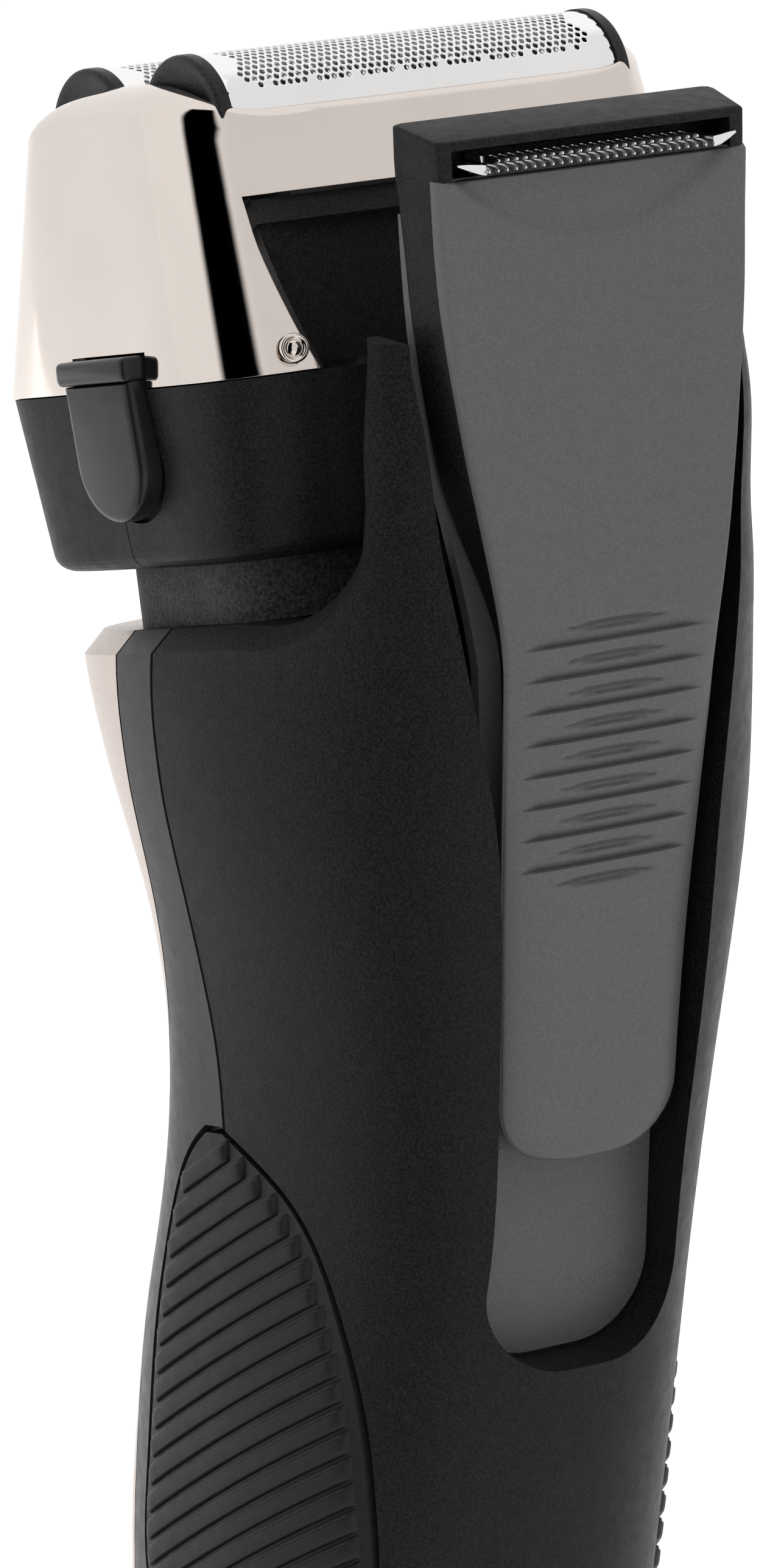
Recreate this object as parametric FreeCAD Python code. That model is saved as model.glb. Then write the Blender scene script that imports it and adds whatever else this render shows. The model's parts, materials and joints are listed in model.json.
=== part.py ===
import FreeCAD, Part

import math
import os

# A two-foil shaver with a swivelling head, a lift-off foil cover and a slide-up trimmer at the back.
# Origin: the middle of the flat base. +Z up the handle, +Y towards the trimmer, X along the foils.

# ---- handle (mm) ----
# Each station is one level cross-section of the closed handle:
# (z, half width, middle y, front depth, back depth, back roundness exponent)
STATIONS = [
    (0.0, 21.4, -3.0, 28.6, 19.4, 2.2),
    (20.0, 22.3, -3.0, 28.0, 22.4, 2.2),
    (40.0, 22.8, -3.0, 23.8, 26.0, 2.2),
    (54.0, 23.0, -2.5, 18.9, 28.3, 2.22),
    (65.0, 23.6, -2.0, 15.3, 29.4, 2.3),
    (76.0, 24.6, -1.0, 14.7, 30.6, 2.33),
    (86.0, 26.1, 0.0, 17.6, 31.4, 2.3),
    (96.0, 27.7, 0.0, 22.6, 32.0, 2.22),
    (106.0, 28.3, 0.0, 27.8, 32.4, 2.15),
    (113.0, 27.4, 0.0, 30.0, 32.0, 2.32),
    (124.0, 25.0, 0.0, 31.5, 29.6, 3.1),
    (142.0, 22.2, 0.0, 31.5, 25.9, 5.2),
]
FRONT_ROUNDNESS = 3.0
SECTION_POINTS = 44
LEVEL_STEP = 7.0
WALL = 2.6
EDGE_ROUND = 1.6
CAP_TOP = 5.0
WING_TOP = 142.0
SEAM_GAP = 0.25
REAR_SEAM_GAP = 0.4
LEAF_GAP = 0.7

# Side-view lines (y, z) that split the casing into front panel, side band and rear shell.
REAR_SEAM = [(-1.0, -5), (0.0, 28), (1.6, 62), (1.6, 73), (0.6, 81), (-1.0, 92), (-2.8, 107),
             (-3.6, 118), (-3.6, 160)]
PANEL_SEAM = [(-20.0, -5), (-19.0, 18), (-16.3, 42), (-12.4, 60), (-8.3, 70), (-6.6, 80), (-7.4, 94),
              (-9.5, 112), (-9.9, 118), (-9.9, 160)]

GRIP_DEPTH = 1.5
LEAF = [(1.3, 64.6), (6.0, 62.4), (9.6, 59.8), (12.2, 56.0), (13.9, 51.0), (15.2, 45.0), (15.9, 38.0), (15.9, 30.0),
        (15.2, 20.0), (12.0, 12.4), (4.0, 9.0), (-6.0, 9.2), (-12.4, 12.0), (-14.8, 18.0), (-13.8, 28.0),
        (-12.3, 38.0), (-10.5, 47.0), (-8.0, 54.5), (-4.4, 61.0), (-1.2, 64.2)]

BUTTON_Z = 74.0
BUTTON_R = 6.0
BUTTON_RING_R = 7.4
BUTTON_FACE = 16.4
BUTTON_TRAVEL = 0.8
SWITCH_TOP_Y = -9.6
LENS_Z = 57.0
LENS_WIDTH = 9.0
INLET_Y = -4.5
INLET_HALF = (4.8, 2.9)
SOCKET_HALF = (6.5, 4.0)
INLET_DEPTH = 9.0
SCREW_X = 12.5
SCREW_HEAD_R = 2.6
SCREW_HEAD_Z = (0.6, 2.4)
SCREW_R = 1.3
SCREW_END = 16.0
WELL_R = 2.8
BOSS_R = 3.2
BOSS_TOP = 22.0
SOCKET_TOP = 13.0
SOCKET_PIN_R = 0.7
SOCKET_PIN_X = 2.0
SOCKET_PIN_Z = (5.2, 15.0)
BATTERY_R = 7.1
BATTERY_Y = 7.6
BATTERY_Z = (14.0, 66.0)
BOARD_Y = -4.6
BOARD_THICK = 1.5
BOARD_HALF = 10.0
BOARD_Z = (24.0, 81.0)
# Components on the board: (x from, x to, height, z from, z to)
COMPONENTS = [(-3.5, 3.5, 1.6, 30, 37), (-8, -4, 2.4, 42, 47), (3, 8, 2.0, 26, 30), (-6, -2, 1.2, 60, 64)]
CHASSIS_HALF = 14.0
CHASSIS_Y = (-3.0, -1.2)
CHASSIS_Z = (16.0, 76.0)
CRADLE_Z = (20, 40, 60)
TAB_THICK = 0.3
LED_X = 2.4

# ---- swivelling head: its own frame has h along the head, t towards the back ----
# Its level sections are given as (half width, front depth, back depth).
HEAD_TILT = 12.5
HEAD_Y = -7.8
HEAD_Z = 133.7
SHOULDER_H = -22.2
SHOULDER_BEND = 11.0
WING_FRONT_Y = 20.0
WING_FRONT_TOP_Y = 18.8
SHOULDER_BEVEL = 2.0
SHOULDER_EDGE_Z = 95.0
PIVOT_H = -10.0
PIVOT_T = 0.5
PIVOT_R = 2.0
RUNNING_GAP = 0.05

BASE_BOTTOM_H = -16.6
BASE_TOP_H = -0.15
BASE_BOTTOM = (27.0, 22.9, 16.4)
BASE_TOP = (29.0, 23.8, 20.3)
HEAD_FRONT_ROUNDNESS = 6.0
HEAD_BACK_ROUNDNESS = 4.4
BASE_WALL = 2.0
BASE_SPLIT_T = -2.8
NECK = (23.4, 13.0, 13.0)
NECK_TOP_H = -14.8
NECK_HOLE = (24.6, 14.2, 14.2)

COVER_BOTTOM = (29.2, 24.0, 20.5)
COVER_TOP = (27.2, 17.0, 15.9)
COVER_H = 24.0
COVER_WALL = 1.4
# The cover's arched top seen from the side, as points (t, h).
CROWN = [(-19.0, 17.5), (-17.8, 20.4), (-16.6, 22.6), (-14.0, 24.9), (-9.0, 26.6), (-3.0, 27.2),
         (3.0, 27.2), (9.0, 26.4), (13.0, 24.8), (15.5, 22.6), (17.3, 19.4)]
CROWN_CENTRE_H = 9.0
FOIL_WINDOW = (23.4, 14.6)
BACK_WINDOW = [(-18.9, -1), (-20.6, 4), (-22.2, 11), (-22.6, 16), (22.6, 16), (22.2, 11), (20.6, 4), (18.9, -1)]

FOIL_LENGTH = 43.0
FOIL_R = 6.3
FOIL_THICK = 0.25
FOIL_AXIS_H = 22.9
FOIL_PITCH = 15.6
FOIL_FOOT_H = 18.6
END_CAP = 1.4
CUTTER_R = 5.6
CUTTER_LENGTH = 39.0
CUTTER_BLADES = 24
BLADE_THICK = 0.5

FRAME_H = (13.4, 15.6)
FRAME_OPENING = 13.6
BAR_TOP_H = 25.0
FOIL_SILL_H = 23.6
RAIL_H = (17.3, 18.6)
SPINE_H = (18.0, 22.4)
SPRING_R = 2.9
SPRING_WIRE = 0.3
SPRING_TURNS = 7
CARRIER_H = 13.5
CARRIER_HALF = (15.0, 4.3)
BRIDGE_HALF = (9.0, 10.4)
BRIDGE_RISE = (0.5, 3.0)
STEM_HALF = 5.0
SPINE_HALF = 2.2
POST_R = 2.2
POST_TOP_H = 16.2
DECK_H = (-4.5, -2.5)

TONGUE_HALF = 5.4
TONGUE_BOTTOM_H = -12.0
TONGUE_FACE_X = (30.2, 31.0)
CAP_H = (0.9, 2.9)
BASE_EDGE = 1.6
LUG_X = (21.2, 26.4)
LUG_HALF = (2.9, 3.4)
PIN_X = 25.2
CAP_HALF = 5.7
CAP_NOTCH = (6.1, 3.2)
BUTTON_CAP_X = (28.6, 31.2)

NECK_BORE = 4.2
MOTOR_R = 10.0
MOTOR_FLAT = 7.7
MOTOR_H = (-54.0, -27.0)
MOTOR_BOSS_R = 3.0
MOUNT_HALF = (12.0, 8.5)
YOKE_HALF = (19.0, 6.0)
YOKE_THICK = 1.6
EAR_HALF = 3.5
EAR_INNER_X = 16.0
PIVOT_X = (15.0, 24.6)
SHAFT_R = 1.0
CAM_R = 3.0
CAM_H = (-11.0, -8.6)
CAM_THROW = 1.0
CAM_PIN_R = 0.8
CAM_PIN_TOP = -3.4
CAM_FORK_R = 3.6

# ---- trimmer at the back ----
SLIDE_TILT = 2.5
TRIMMER_TRAVEL = 16.4
SLOT_HALF_WIDTHS = [(10.7, 53), (10.7, 65), (11.3, 76), (11.8, 86), (12.4, 96), (13.9, 106),
                    (15.1, 113), (16.7, 124), (18.2, 142), (18.6, 150)]
SLOT_BOTTOM_Z = 44.6
SLOT_CORNER = 8.0
TRIMMER_HALF_WIDTHS = [(9.9, 70), (10.05, 76), (10.4, 85), (10.9, 95), (11.4, 105), (12.05, 115),
                       (13.6, 125), (14.8, 132), (16.3, 143), (16.8, 150), (17.2, 161)]
TRIMMER_BOTTOM_Z = 65.0
TRIMMER_TOP_Z = 161.2
TRIMMER_CORNER = 6.0
BLADE_SLOT = (15.3, 156.6, 159.2)
COMB_TEETH = 26
COMB_HALF = 14.0
BLADE_BACK_Y = 22.0
BLADE_FRONT_Y = 26.7
TRIMMER_CAVITY_HALF = 7.4
TOOTH_GAP = 0.56
TRIMMER_STEP_Z = (112.0, 130.0)
TRIMMER_FACE = [(25.0, 161.2), (26.1, 160.0), (26.7, 150), (27.7, 140), (29.2, 127), (30.2, 118),
                (30.4, 113), (30.2, 108), (29.3, 98), (28.3, 86), (26.6, 55), (20, 50)]
TRIMMER_CAVITY_Z = 74.0
# The cavity's front wall, as points (y, z) from its foot to its top.
TRIMMER_CAVITY_FRONT = [(26.2, 74), (28.3, 110), (24.8, 151), (23.6, 157), (22.0, 157)]
TRIMMER_GAP = 0.4
TRIMMER_SKIN = 1.6
TRIMMER_BACK_TOP = [(22.2, 130), (21.2, 153)]
ARM_HALF = 3.0
ARM_BOTTOM_Z = 132.0


def v(x, y, z):
    return FreeCAD.Vector(x, y, z)


def box(x0, x1, y0, y1, z0, z1):
    return Part.makeBox(x1 - x0, y1 - y0, z1 - z0, v(x0, y0, z0))


def cylinder(radius, start, end):
    axis = end - start
    return Part.makeCylinder(radius, axis.Length, start, axis)


def save(node, shape):
    shape.exportStep("parts/" + node + ".step")


def to_head(shape):
    placed = shape.copy()
    placed.rotate(v(0, 0, 0), v(1, 0, 0), HEAD_TILT)
    placed.translate(v(0, HEAD_Y, HEAD_Z))
    return placed


def fuse_all(shapes):
    whole = shapes[0]
    for other in shapes[1:]:
        whole = whole.fuse(other)
    return whole.removeSplitter()


def smooth_wire(points):
    curve = Part.BSplineCurve()
    steps = [i / len(points) for i in range(len(points) + 1)]
    curve.interpolate(Points=points, PeriodicFlag=True, Parameters=steps)
    return Part.Wire(curve.toShape())


def rounded_section(half_width, middle, front, back, front_n, back_n, level):
    """A closed level outline: a superellipse whose front and back halves differ."""
    points = []
    for i in range(SECTION_POINTS):
        angle = 2 * math.pi * i / SECTION_POINTS
        c, s = math.cos(angle), math.sin(angle)
        depth, n = (back, back_n) if s >= 0 else (front, front_n)
        r = (abs(c / half_width) ** n + abs(s / depth) ** n) ** (-1 / n)
        points.append(v(r * c, middle + r * s, level))
    return smooth_wire(points)


def station(z):
    """The section values at any level, on a smooth curve through STATIONS."""
    z = min(max(z, STATIONS[0][0]), STATIONS[-1][0])
    i = max(k for k in range(len(STATIONS) - 1) if STATIONS[k][0] <= z or k == 0)
    rows = [STATIONS[max(i - 1, 0)], STATIONS[i], STATIONS[i + 1], STATIONS[min(i + 2, len(STATIONS) - 1)]]
    z1, z2 = rows[1][0], rows[2][0]
    f = (z - z1) / (z2 - z1)
    values = []
    for column in range(1, len(STATIONS[0])):
        p0, p1, p2, p3 = (row[column] for row in rows)
        slope1 = (p2 - p0) / max(z2 - rows[0][0], 1e-9) * (z2 - z1)
        slope2 = (p3 - p1) / max(rows[3][0] - z1, 1e-9) * (z2 - z1)
        values.append((2 * f**3 - 3 * f**2 + 1) * p1 + (f**3 - 2 * f**2 + f) * slope1
                      + (3 * f**2 - 2 * f**3) * p2 + (f**3 - f**2) * slope2)
    return values


def handle_section(z, inset):
    a, mid, front, back, n = station(z)
    return rounded_section(a - inset, mid, front + mid - inset, back - mid - inset,
                           FRONT_ROUNDNESS, n, z)


def handle_loft(inset, bottom, top):
    """The closed handle shape, drawn in by inset all round, between two levels."""
    count = round((top - bottom) / LEVEL_STEP)
    levels = [bottom + (top - bottom) * i / count for i in range(count + 1)]
    return Part.makeLoft([handle_section(z, inset) for z in levels], True, False)


def foot_loft():
    """The bottom millimetres of the handle, with a rounded lower edge."""
    steps = ((0.0, EDGE_ROUND), (0.25, 0.75), (0.8, 0.25), (EDGE_ROUND, 0.0), (CAP_TOP, 0.0))
    return Part.makeLoft([handle_section(z, inset) for z, inset in steps], True, False)


def side_region(line, shift, behind):
    """Everything behind (or in front of) a side-view line, as a wide block."""
    curve = Part.BSplineCurve()
    curve.interpolate([v(0, y + shift, z) for y, z in line])
    far = 60 if behind else -60
    start, end = curve.StartPoint, curve.EndPoint
    corners = [end, v(0, far, end.z), v(0, far, start.z), start]
    edges = [curve.toShape()]
    for a, b in zip(corners, corners[1:]):
        edges.append(Part.LineSegment(a, b).toShape())
    face = Part.Face(Part.Wire(edges))
    block = face.extrude(v(100, 0, 0))
    block.translate(v(-50, 0, 0))
    return block


def shoulder_z(y, drop=0.0):
    """Height of the tilted shoulder under the head, lowered by drop."""
    tilt = math.radians(HEAD_TILT)
    y0 = HEAD_Y - SHOULDER_H * math.sin(tilt)
    z0 = HEAD_Z + SHOULDER_H * math.cos(tilt)
    return z0 + (y - y0) * math.tan(tilt) - drop


def shoulder_cutter():
    """The space above the shoulder and in front of the two wings."""
    bend_y = WING_FRONT_Y - SHOULDER_BEND
    floor_end = v(0, bend_y, shoulder_z(bend_y))
    wall_start = v(0, WING_FRONT_Y, floor_end.z + SHOULDER_BEND * 0.92)
    knee = v(0, bend_y + SHOULDER_BEND * 0.76, floor_end.z + SHOULDER_BEND * 0.33)
    bend = Part.Arc(floor_end, knee, wall_start).toShape()
    corners = [wall_start, v(0, WING_FRONT_TOP_Y, WING_TOP), v(0, WING_FRONT_TOP_Y, 175),
               v(0, -60, 175), v(0, -60, shoulder_z(-60)), floor_end]
    edges = [bend]
    for a, b in zip(corners, corners[1:]):
        edges.append(Part.LineSegment(a, b).toShape())
    block = Part.Face(Part.Wire(edges)).extrude(v(100, 0, 0))
    block.translate(v(-50, 0, 0))
    return block


def bevelled(shape):
    """The casing with a flat bevel along the rim of its shoulder and wings, and across the two bends."""
    rim = []
    for edge in shape.Edges:
        bounds = edge.BoundBox
        reach = max(-bounds.XMin, bounds.XMax)
        if reach > WING_FRONT_Y and SHOULDER_EDGE_Z < bounds.ZMin < WING_TOP - 0.1:
            rim.append(edge)
    return shape.makeChamfer(SHOULDER_BEVEL, rim)


def outline_prism(half_widths, bottom, corner, grow, y0, y1):
    """A tongue outline in the XZ plane, round at its bottom, extruded from y0 to y1."""
    right = [v(w + grow, y0, z) for w, z in half_widths]
    low = bottom - grow
    r = corner + grow
    side = right[0]
    flat = max(side.x - r, 0.5)
    bend_mid = v(flat + (side.x - flat) * 0.7071, y0, low + (side.z - low) * 0.2929)
    curve = Part.BSplineCurve()
    curve.interpolate(right)
    edges = [Part.Arc(v(flat, y0, low), bend_mid, side).toShape(), curve.toShape()]
    half = Part.Wire(edges)
    mirrored = half.mirror(v(0, 0, 0), v(1, 0, 0))
    top = right[-1]
    bars = [Part.LineSegment(top, v(-top.x, y0, top.z)).toShape(),
            Part.LineSegment(v(-flat, y0, low), v(flat, y0, low)).toShape()]
    loop = Part.Wire(Part.__sortEdges__(half.Edges + mirrored.Edges + bars))
    return Part.Face(loop).extrude(v(0, y1 - y0, 0))


def side_prism(points, half_width):
    face = Part.Face(Part.makePolygon([v(-half_width, y, z) for y, z in points + points[:1]]))
    return face.extrude(v(2 * half_width, 0, 0))


def slot_floor_y(z):
    return 21.5 + (z - 61.0) * math.tan(math.radians(SLIDE_TILT))


def slot_space(grow):
    """The trimmer's channel in the rear shell."""
    tongue = outline_prism(SLOT_HALF_WIDTHS, SLOT_BOTTOM_Z, SLOT_CORNER, grow, 0, 60)
    profile = [(60, 30), (slot_floor_y(30) - grow, 30), (slot_floor_y(95) - grow, 95),
               (19.3 - grow, 111), (16.6 - grow, 143), (14, 152), (60, 152)]
    return tongue.common(side_prism(profile, 60))


def casing():
    """The whole handle casing before it is split: walls, wings, channel and hollow."""
    outer = bevelled(handle_loft(0, CAP_TOP, WING_TOP).cut(shoulder_cutter()))
    deck = [(-60, shoulder_z(-60, WALL)), (60, shoulder_z(60, WALL)), (60, 180), (-60, 180)]
    hollow = handle_loft(WALL, CAP_TOP - 1, 122).cut(side_prism(deck, 60))
    hollow = hollow.cut(side_prism([(15, 104), (60, 104), (60, 125), (15, 125)], 60))
    return outer.cut(hollow.cut(slot_space(1.8))).cut(slot_space(0))


def head_section(size, inset, h):
    half_width, front, back = size
    return rounded_section(half_width - inset, 0, front - inset, back - inset,
                           HEAD_FRONT_ROUNDNESS, HEAD_BACK_ROUNDNESS, h)


def between(low, high, f):
    return tuple(a + (b - a) * f for a, b in zip(low, high))


def base_size(h):
    return between(BASE_BOTTOM, BASE_TOP, (h - BASE_BOTTOM_H) / (BASE_TOP_H - BASE_BOTTOM_H))


def cover_size(h):
    return between(COVER_BOTTOM, COVER_TOP, h / COVER_H)


def leaf_prism(grow, x0, x1):
    """The leaf outline of a grip insert, seen from the side."""
    cy, cz = 1.0, 36.0
    points = []
    for y, z in LEAF:
        reach = math.hypot(y - cy, z - cz)
        points.append(v(x0, y + grow * (y - cy) / reach, z + grow * (z - cz) / reach))
    curve = Part.BSplineCurve()
    curve.interpolate(points)
    closing = Part.LineSegment(curve.EndPoint, curve.StartPoint).toShape()
    return Part.Face(Part.Wire([curve.toShape(), closing])).extrude(v(x1 - x0, 0, 0))


def both_sides(shape):
    return [shape, shape.mirror(v(0, 0, 0), v(1, 0, 0))]


def make_casing():
    """Front panel, side band, rear shell and the two grip inserts."""
    shell = casing()
    axis_hole = to_head(cylinder(NECK_BORE, v(0, 0, -30), v(0, 0, -20)))
    shell = shell.cut(axis_hole)
    skin = handle_loft(0, CAP_TOP, 80)
    core = handle_loft(GRIP_DEPTH, CAP_TOP - 2, 82)
    for side, name in ((1, "grip_insert_left"), (-1, "grip_insert_right")):
        x0, x1 = sorted((8 * side, 40 * side))
        save(name, skin.common(leaf_prism(0, x0, x1)).cut(core))
        shell = shell.cut(leaf_prism(LEAF_GAP, x0, x1).cut(core))
    rear = shell.common(side_region(REAR_SEAM, REAR_SEAM_GAP / 2, True))
    band = shell.common(side_region(REAR_SEAM, -REAR_SEAM_GAP / 2, False))
    band = band.common(side_region(PANEL_SEAM, SEAM_GAP / 2, True))
    front = shell.common(side_region(PANEL_SEAM, -SEAM_GAP / 2, False))
    lens_box = box(-LENS_WIDTH / 2, LENS_WIDTH / 2, -30, -10, LENS_Z - 1, LENS_Z + 1)
    save("status_lens", front.common(lens_box))
    front = front.cut(lens_box)
    front = front.cut(cylinder(BUTTON_RING_R, v(0, -30, BUTTON_Z), v(0, -5, BUTTON_Z)))
    save("rear_shell", rear)
    save("side_band", band)
    save("front_panel", front)


def make_power_button():
    face_y = -BUTTON_FACE
    ring = cylinder(BUTTON_RING_R, v(0, face_y + 0.5, BUTTON_Z), v(0, face_y + 3.4, BUTTON_Z))
    hole = cylinder(BUTTON_R + 0.2, v(0, face_y, BUTTON_Z), v(0, 0, BUTTON_Z))
    save("button_ring", ring.cut(hole))
    cap = cylinder(BUTTON_R, v(0, face_y, BUTTON_Z), v(0, face_y + 4.2, BUTTON_Z))
    rim = [e for e in cap.Edges if abs(e.CenterOfMass.y - face_y) < 0.01]
    cap = cap.makeFillet(0.8, rim)
    flange = cylinder(BUTTON_R + 1.0, v(0, face_y + 3.7, BUTTON_Z), v(0, face_y + 4.5, BUTTON_Z))
    stem = cylinder(1.5, v(0, face_y + 4.5, BUTTON_Z), v(0, SWITCH_TOP_Y - BUTTON_TRAVEL - 0.2, BUTTON_Z))
    save("power_button", fuse_all([cap, flange, stem]))


def make_bottom():
    cap = foot_loft()
    block = box(-SOCKET_HALF[0], SOCKET_HALF[0], INLET_Y - SOCKET_HALF[1], INLET_Y + SOCKET_HALF[1],
                0, SOCKET_TOP)
    cap = cap.cut(block)
    screws = []
    bosses = []
    for side in (-1, 1):
        x = side * SCREW_X
        head = cylinder(SCREW_HEAD_R, v(x, INLET_Y, SCREW_HEAD_Z[0]), v(x, INLET_Y, SCREW_HEAD_Z[1]))
        shank = cylinder(SCREW_R, v(x, INLET_Y, SCREW_HEAD_Z[1]), v(x, INLET_Y, SCREW_END))
        cross = box(x - SCREW_R, x + SCREW_R, INLET_Y - 0.3, INLET_Y + 0.3, SCREW_HEAD_Z[0], 1.5)
        screws.append(head.fuse(shank).removeSplitter().cut(cross))
        well = cylinder(WELL_R, v(x, INLET_Y, -1), v(x, INLET_Y, SCREW_HEAD_Z[1]))
        cap = cap.cut(well).cut(cylinder(SCREW_R + 0.1, v(x, INLET_Y, 1), v(x, INLET_Y, 6)))
        boss = cylinder(BOSS_R, v(x, INLET_Y, CAP_TOP), v(x, INLET_Y, BOSS_TOP))
        bosses.append(boss.cut(cylinder(SCREW_R, v(x, INLET_Y, 4), v(x, INLET_Y, SCREW_END))))
    save("bottom_cap", cap)
    save("base_screws", Part.makeCompound(screws))
    opening = box(-INLET_HALF[0], INLET_HALF[0], INLET_Y - INLET_HALF[1], INLET_Y + INLET_HALF[1], -1, INLET_DEPTH)
    opening = opening.makeFillet(1.6, [e for e in opening.Edges if abs(e.Length - INLET_DEPTH - 1) < 0.01])
    pins = [cylinder(SOCKET_PIN_R, v(x, INLET_Y, SOCKET_PIN_Z[0]), v(x, INLET_Y, SOCKET_PIN_Z[1]))
            for x in (-SOCKET_PIN_X, SOCKET_PIN_X)]
    socket = block.cut(opening)
    for pin in pins:
        socket = socket.cut(pin)
    save("charging_socket", socket)
    save("socket_pins", Part.makeCompound(pins))
    ring = Part.makeLoft([handle_section(z, WALL + 0.1) for z in (CAP_TOP, CAP_TOP + 2)], True, False)
    core = Part.makeLoft([handle_section(z, WALL + 1.5) for z in (CAP_TOP - 1, CAP_TOP + 3)], True, False)
    save("base_seal", ring.cut(core))
    return bosses


def make_internals(bosses):
    plate = box(-CHASSIS_HALF, CHASSIS_HALF, CHASSIS_Y[0], CHASSIS_Y[1], CHASSIS_Z[0], CHASSIS_Z[1])
    cell = cylinder(BATTERY_R, v(0, BATTERY_Y, BATTERY_Z[0]), v(0, BATTERY_Y, BATTERY_Z[1]))
    cradles = [box(-8.5, 8.5, CHASSIS_Y[1], 3.5, z, z + 2) for z in CRADLE_Z]
    chassis = fuse_all([plate] + cradles + bosses).cut(cell)
    for x in (-SCREW_X, SCREW_X):
        chassis = chassis.cut(cylinder(SCREW_R, v(x, INLET_Y, 4), v(x, INLET_Y, SCREW_END)))
    save("chassis", chassis)
    save("battery", cell)
    tabs = [box(-3, 3, BATTERY_Y - 4, BATTERY_Y + 4, z, z + TAB_THICK)
            for z in (BATTERY_Z[0] - TAB_THICK, BATTERY_Z[1])]
    save("battery_tabs", Part.makeCompound(tabs))
    front = BOARD_Y - BOARD_THICK
    save("circuit_board", box(-BOARD_HALF, BOARD_HALF, front, BOARD_Y, BOARD_Z[0], BOARD_Z[1]))
    parts = [box(x0, x1, front - height, front, z0, z1) for x0, x1, height, z0, z1 in COMPONENTS]
    save("board_components", Part.makeCompound(parts))
    body = box(-3, 3, SWITCH_TOP_Y + 0.8, front, BUTTON_Z - 3, BUTTON_Z + 3)
    plunger = cylinder(1.4, v(0, SWITCH_TOP_Y, BUTTON_Z), v(0, SWITCH_TOP_Y + 0.8, BUTTON_Z))
    save("tact_switch", body.fuse(plunger).removeSplitter())
    leds = [box(x - 0.8, x + 0.8, front - 1.0, front, LENS_Z - 0.6, LENS_Z + 0.6) for x in (-LED_X, LED_X)]
    save("status_leds", Part.makeCompound(leds))


def make_motor():
    can = cylinder(MOTOR_R, v(0, 0, MOTOR_H[0]), v(0, 0, MOTOR_H[1]))
    can = can.common(box(-20, 20, -MOTOR_FLAT, MOTOR_FLAT, -80, 0))
    boss = cylinder(MOTOR_BOSS_R, v(0, 0, MOTOR_H[1]), v(0, 0, MOTOR_H[1] + 1.4))
    bore = cylinder(SHAFT_R + RUNNING_GAP, v(0, 0, MOTOR_H[1] - 12), v(0, 0, MOTOR_H[1] + 2))
    save("motor_can", to_head(fuse_all([can, boss]).cut(bore)))
    half_x, half_t = MOUNT_HALF
    plate = box(-half_x, half_x, -half_t, half_t, MOTOR_H[1], SHOULDER_H - WALL)
    hole = cylinder(MOTOR_BOSS_R + RUNNING_GAP, v(0, 0, -60), v(0, 0, 0))
    save("motor_mount", to_head(plate.cut(hole)))
    shaft = cylinder(SHAFT_R, v(0, 0, MOTOR_H[1] - 11.5), v(0, 0, CAM_H[1]))
    disc = cylinder(CAM_R, v(0, 0, CAM_H[0]), v(0, 0, CAM_H[1]))
    pin = cylinder(CAM_PIN_R, v(CAM_THROW, 0, CAM_H[1]), v(CAM_THROW, 0, CAM_PIN_TOP))
    save("motor_shaft", to_head(shaft))
    save("eccentric_cam", to_head(fuse_all([disc.cut(shaft), pin])))


def make_neck():
    column = Part.makeLoft([head_section(NECK, 0, SHOULDER_H), head_section(NECK, 0, NECK_TOP_H)], True, False)
    bore = cylinder(NECK_BORE, v(0, 0, -40), v(0, 0, 0))
    save("neck_column", to_head(column.cut(bore)))
    half_x, half_t = YOKE_HALF
    plate = box(-half_x, half_x, -half_t, half_t, NECK_TOP_H, NECK_TOP_H + YOKE_THICK)
    ear = box(EAR_INNER_X, half_x, PIVOT_T - EAR_HALF, PIVOT_T + EAR_HALF, NECK_TOP_H, PIVOT_H + EAR_HALF)
    ears = both_sides(ear)
    pins = both_sides(cylinder(PIVOT_R, v(PIVOT_X[0], PIVOT_T, PIVOT_H), v(PIVOT_X[1], PIVOT_T, PIVOT_H)))
    yoke = fuse_all([plate] + ears).cut(bore)
    for pin in pins:
        yoke = yoke.cut(pin)
    save("swivel_yoke", to_head(yoke))
    save("swivel_pins", to_head(Part.makeCompound(pins)))


def tongue_outline(grow, x0, x1):
    """A release button's round-ended tongue."""
    r = TONGUE_HALF + grow
    low = TONGUE_BOTTOM_H + TONGUE_HALF
    stem = box(x0, x1, -r, r, low, CAP_H[0] + 0.5)
    end = cylinder(r, v(x0, 0, low), v(x1, 0, low))
    return stem.fuse(end).removeSplitter()


def flank(inner, outer, low, high):
    """A slab that follows the slope of the head base's side wall."""
    slope = (BASE_TOP[0] - BASE_BOTTOM[0]) / (BASE_TOP_H - BASE_BOTTOM_H)
    corners = [(BASE_TOP[0] + inner + slope * low, low), (BASE_TOP[0] + outer + slope * low, low),
               (BASE_TOP[0] + outer + slope * high, high), (BASE_TOP[0] + inner + slope * high, high)]
    wire = Part.makePolygon([v(x, -30, h) for x, h in corners + corners[:1]])
    return Part.Face(wire).extrude(v(0, 60, 0))


def stacked(sections):
    return Part.makeLoft(sections, True, True)


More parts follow.
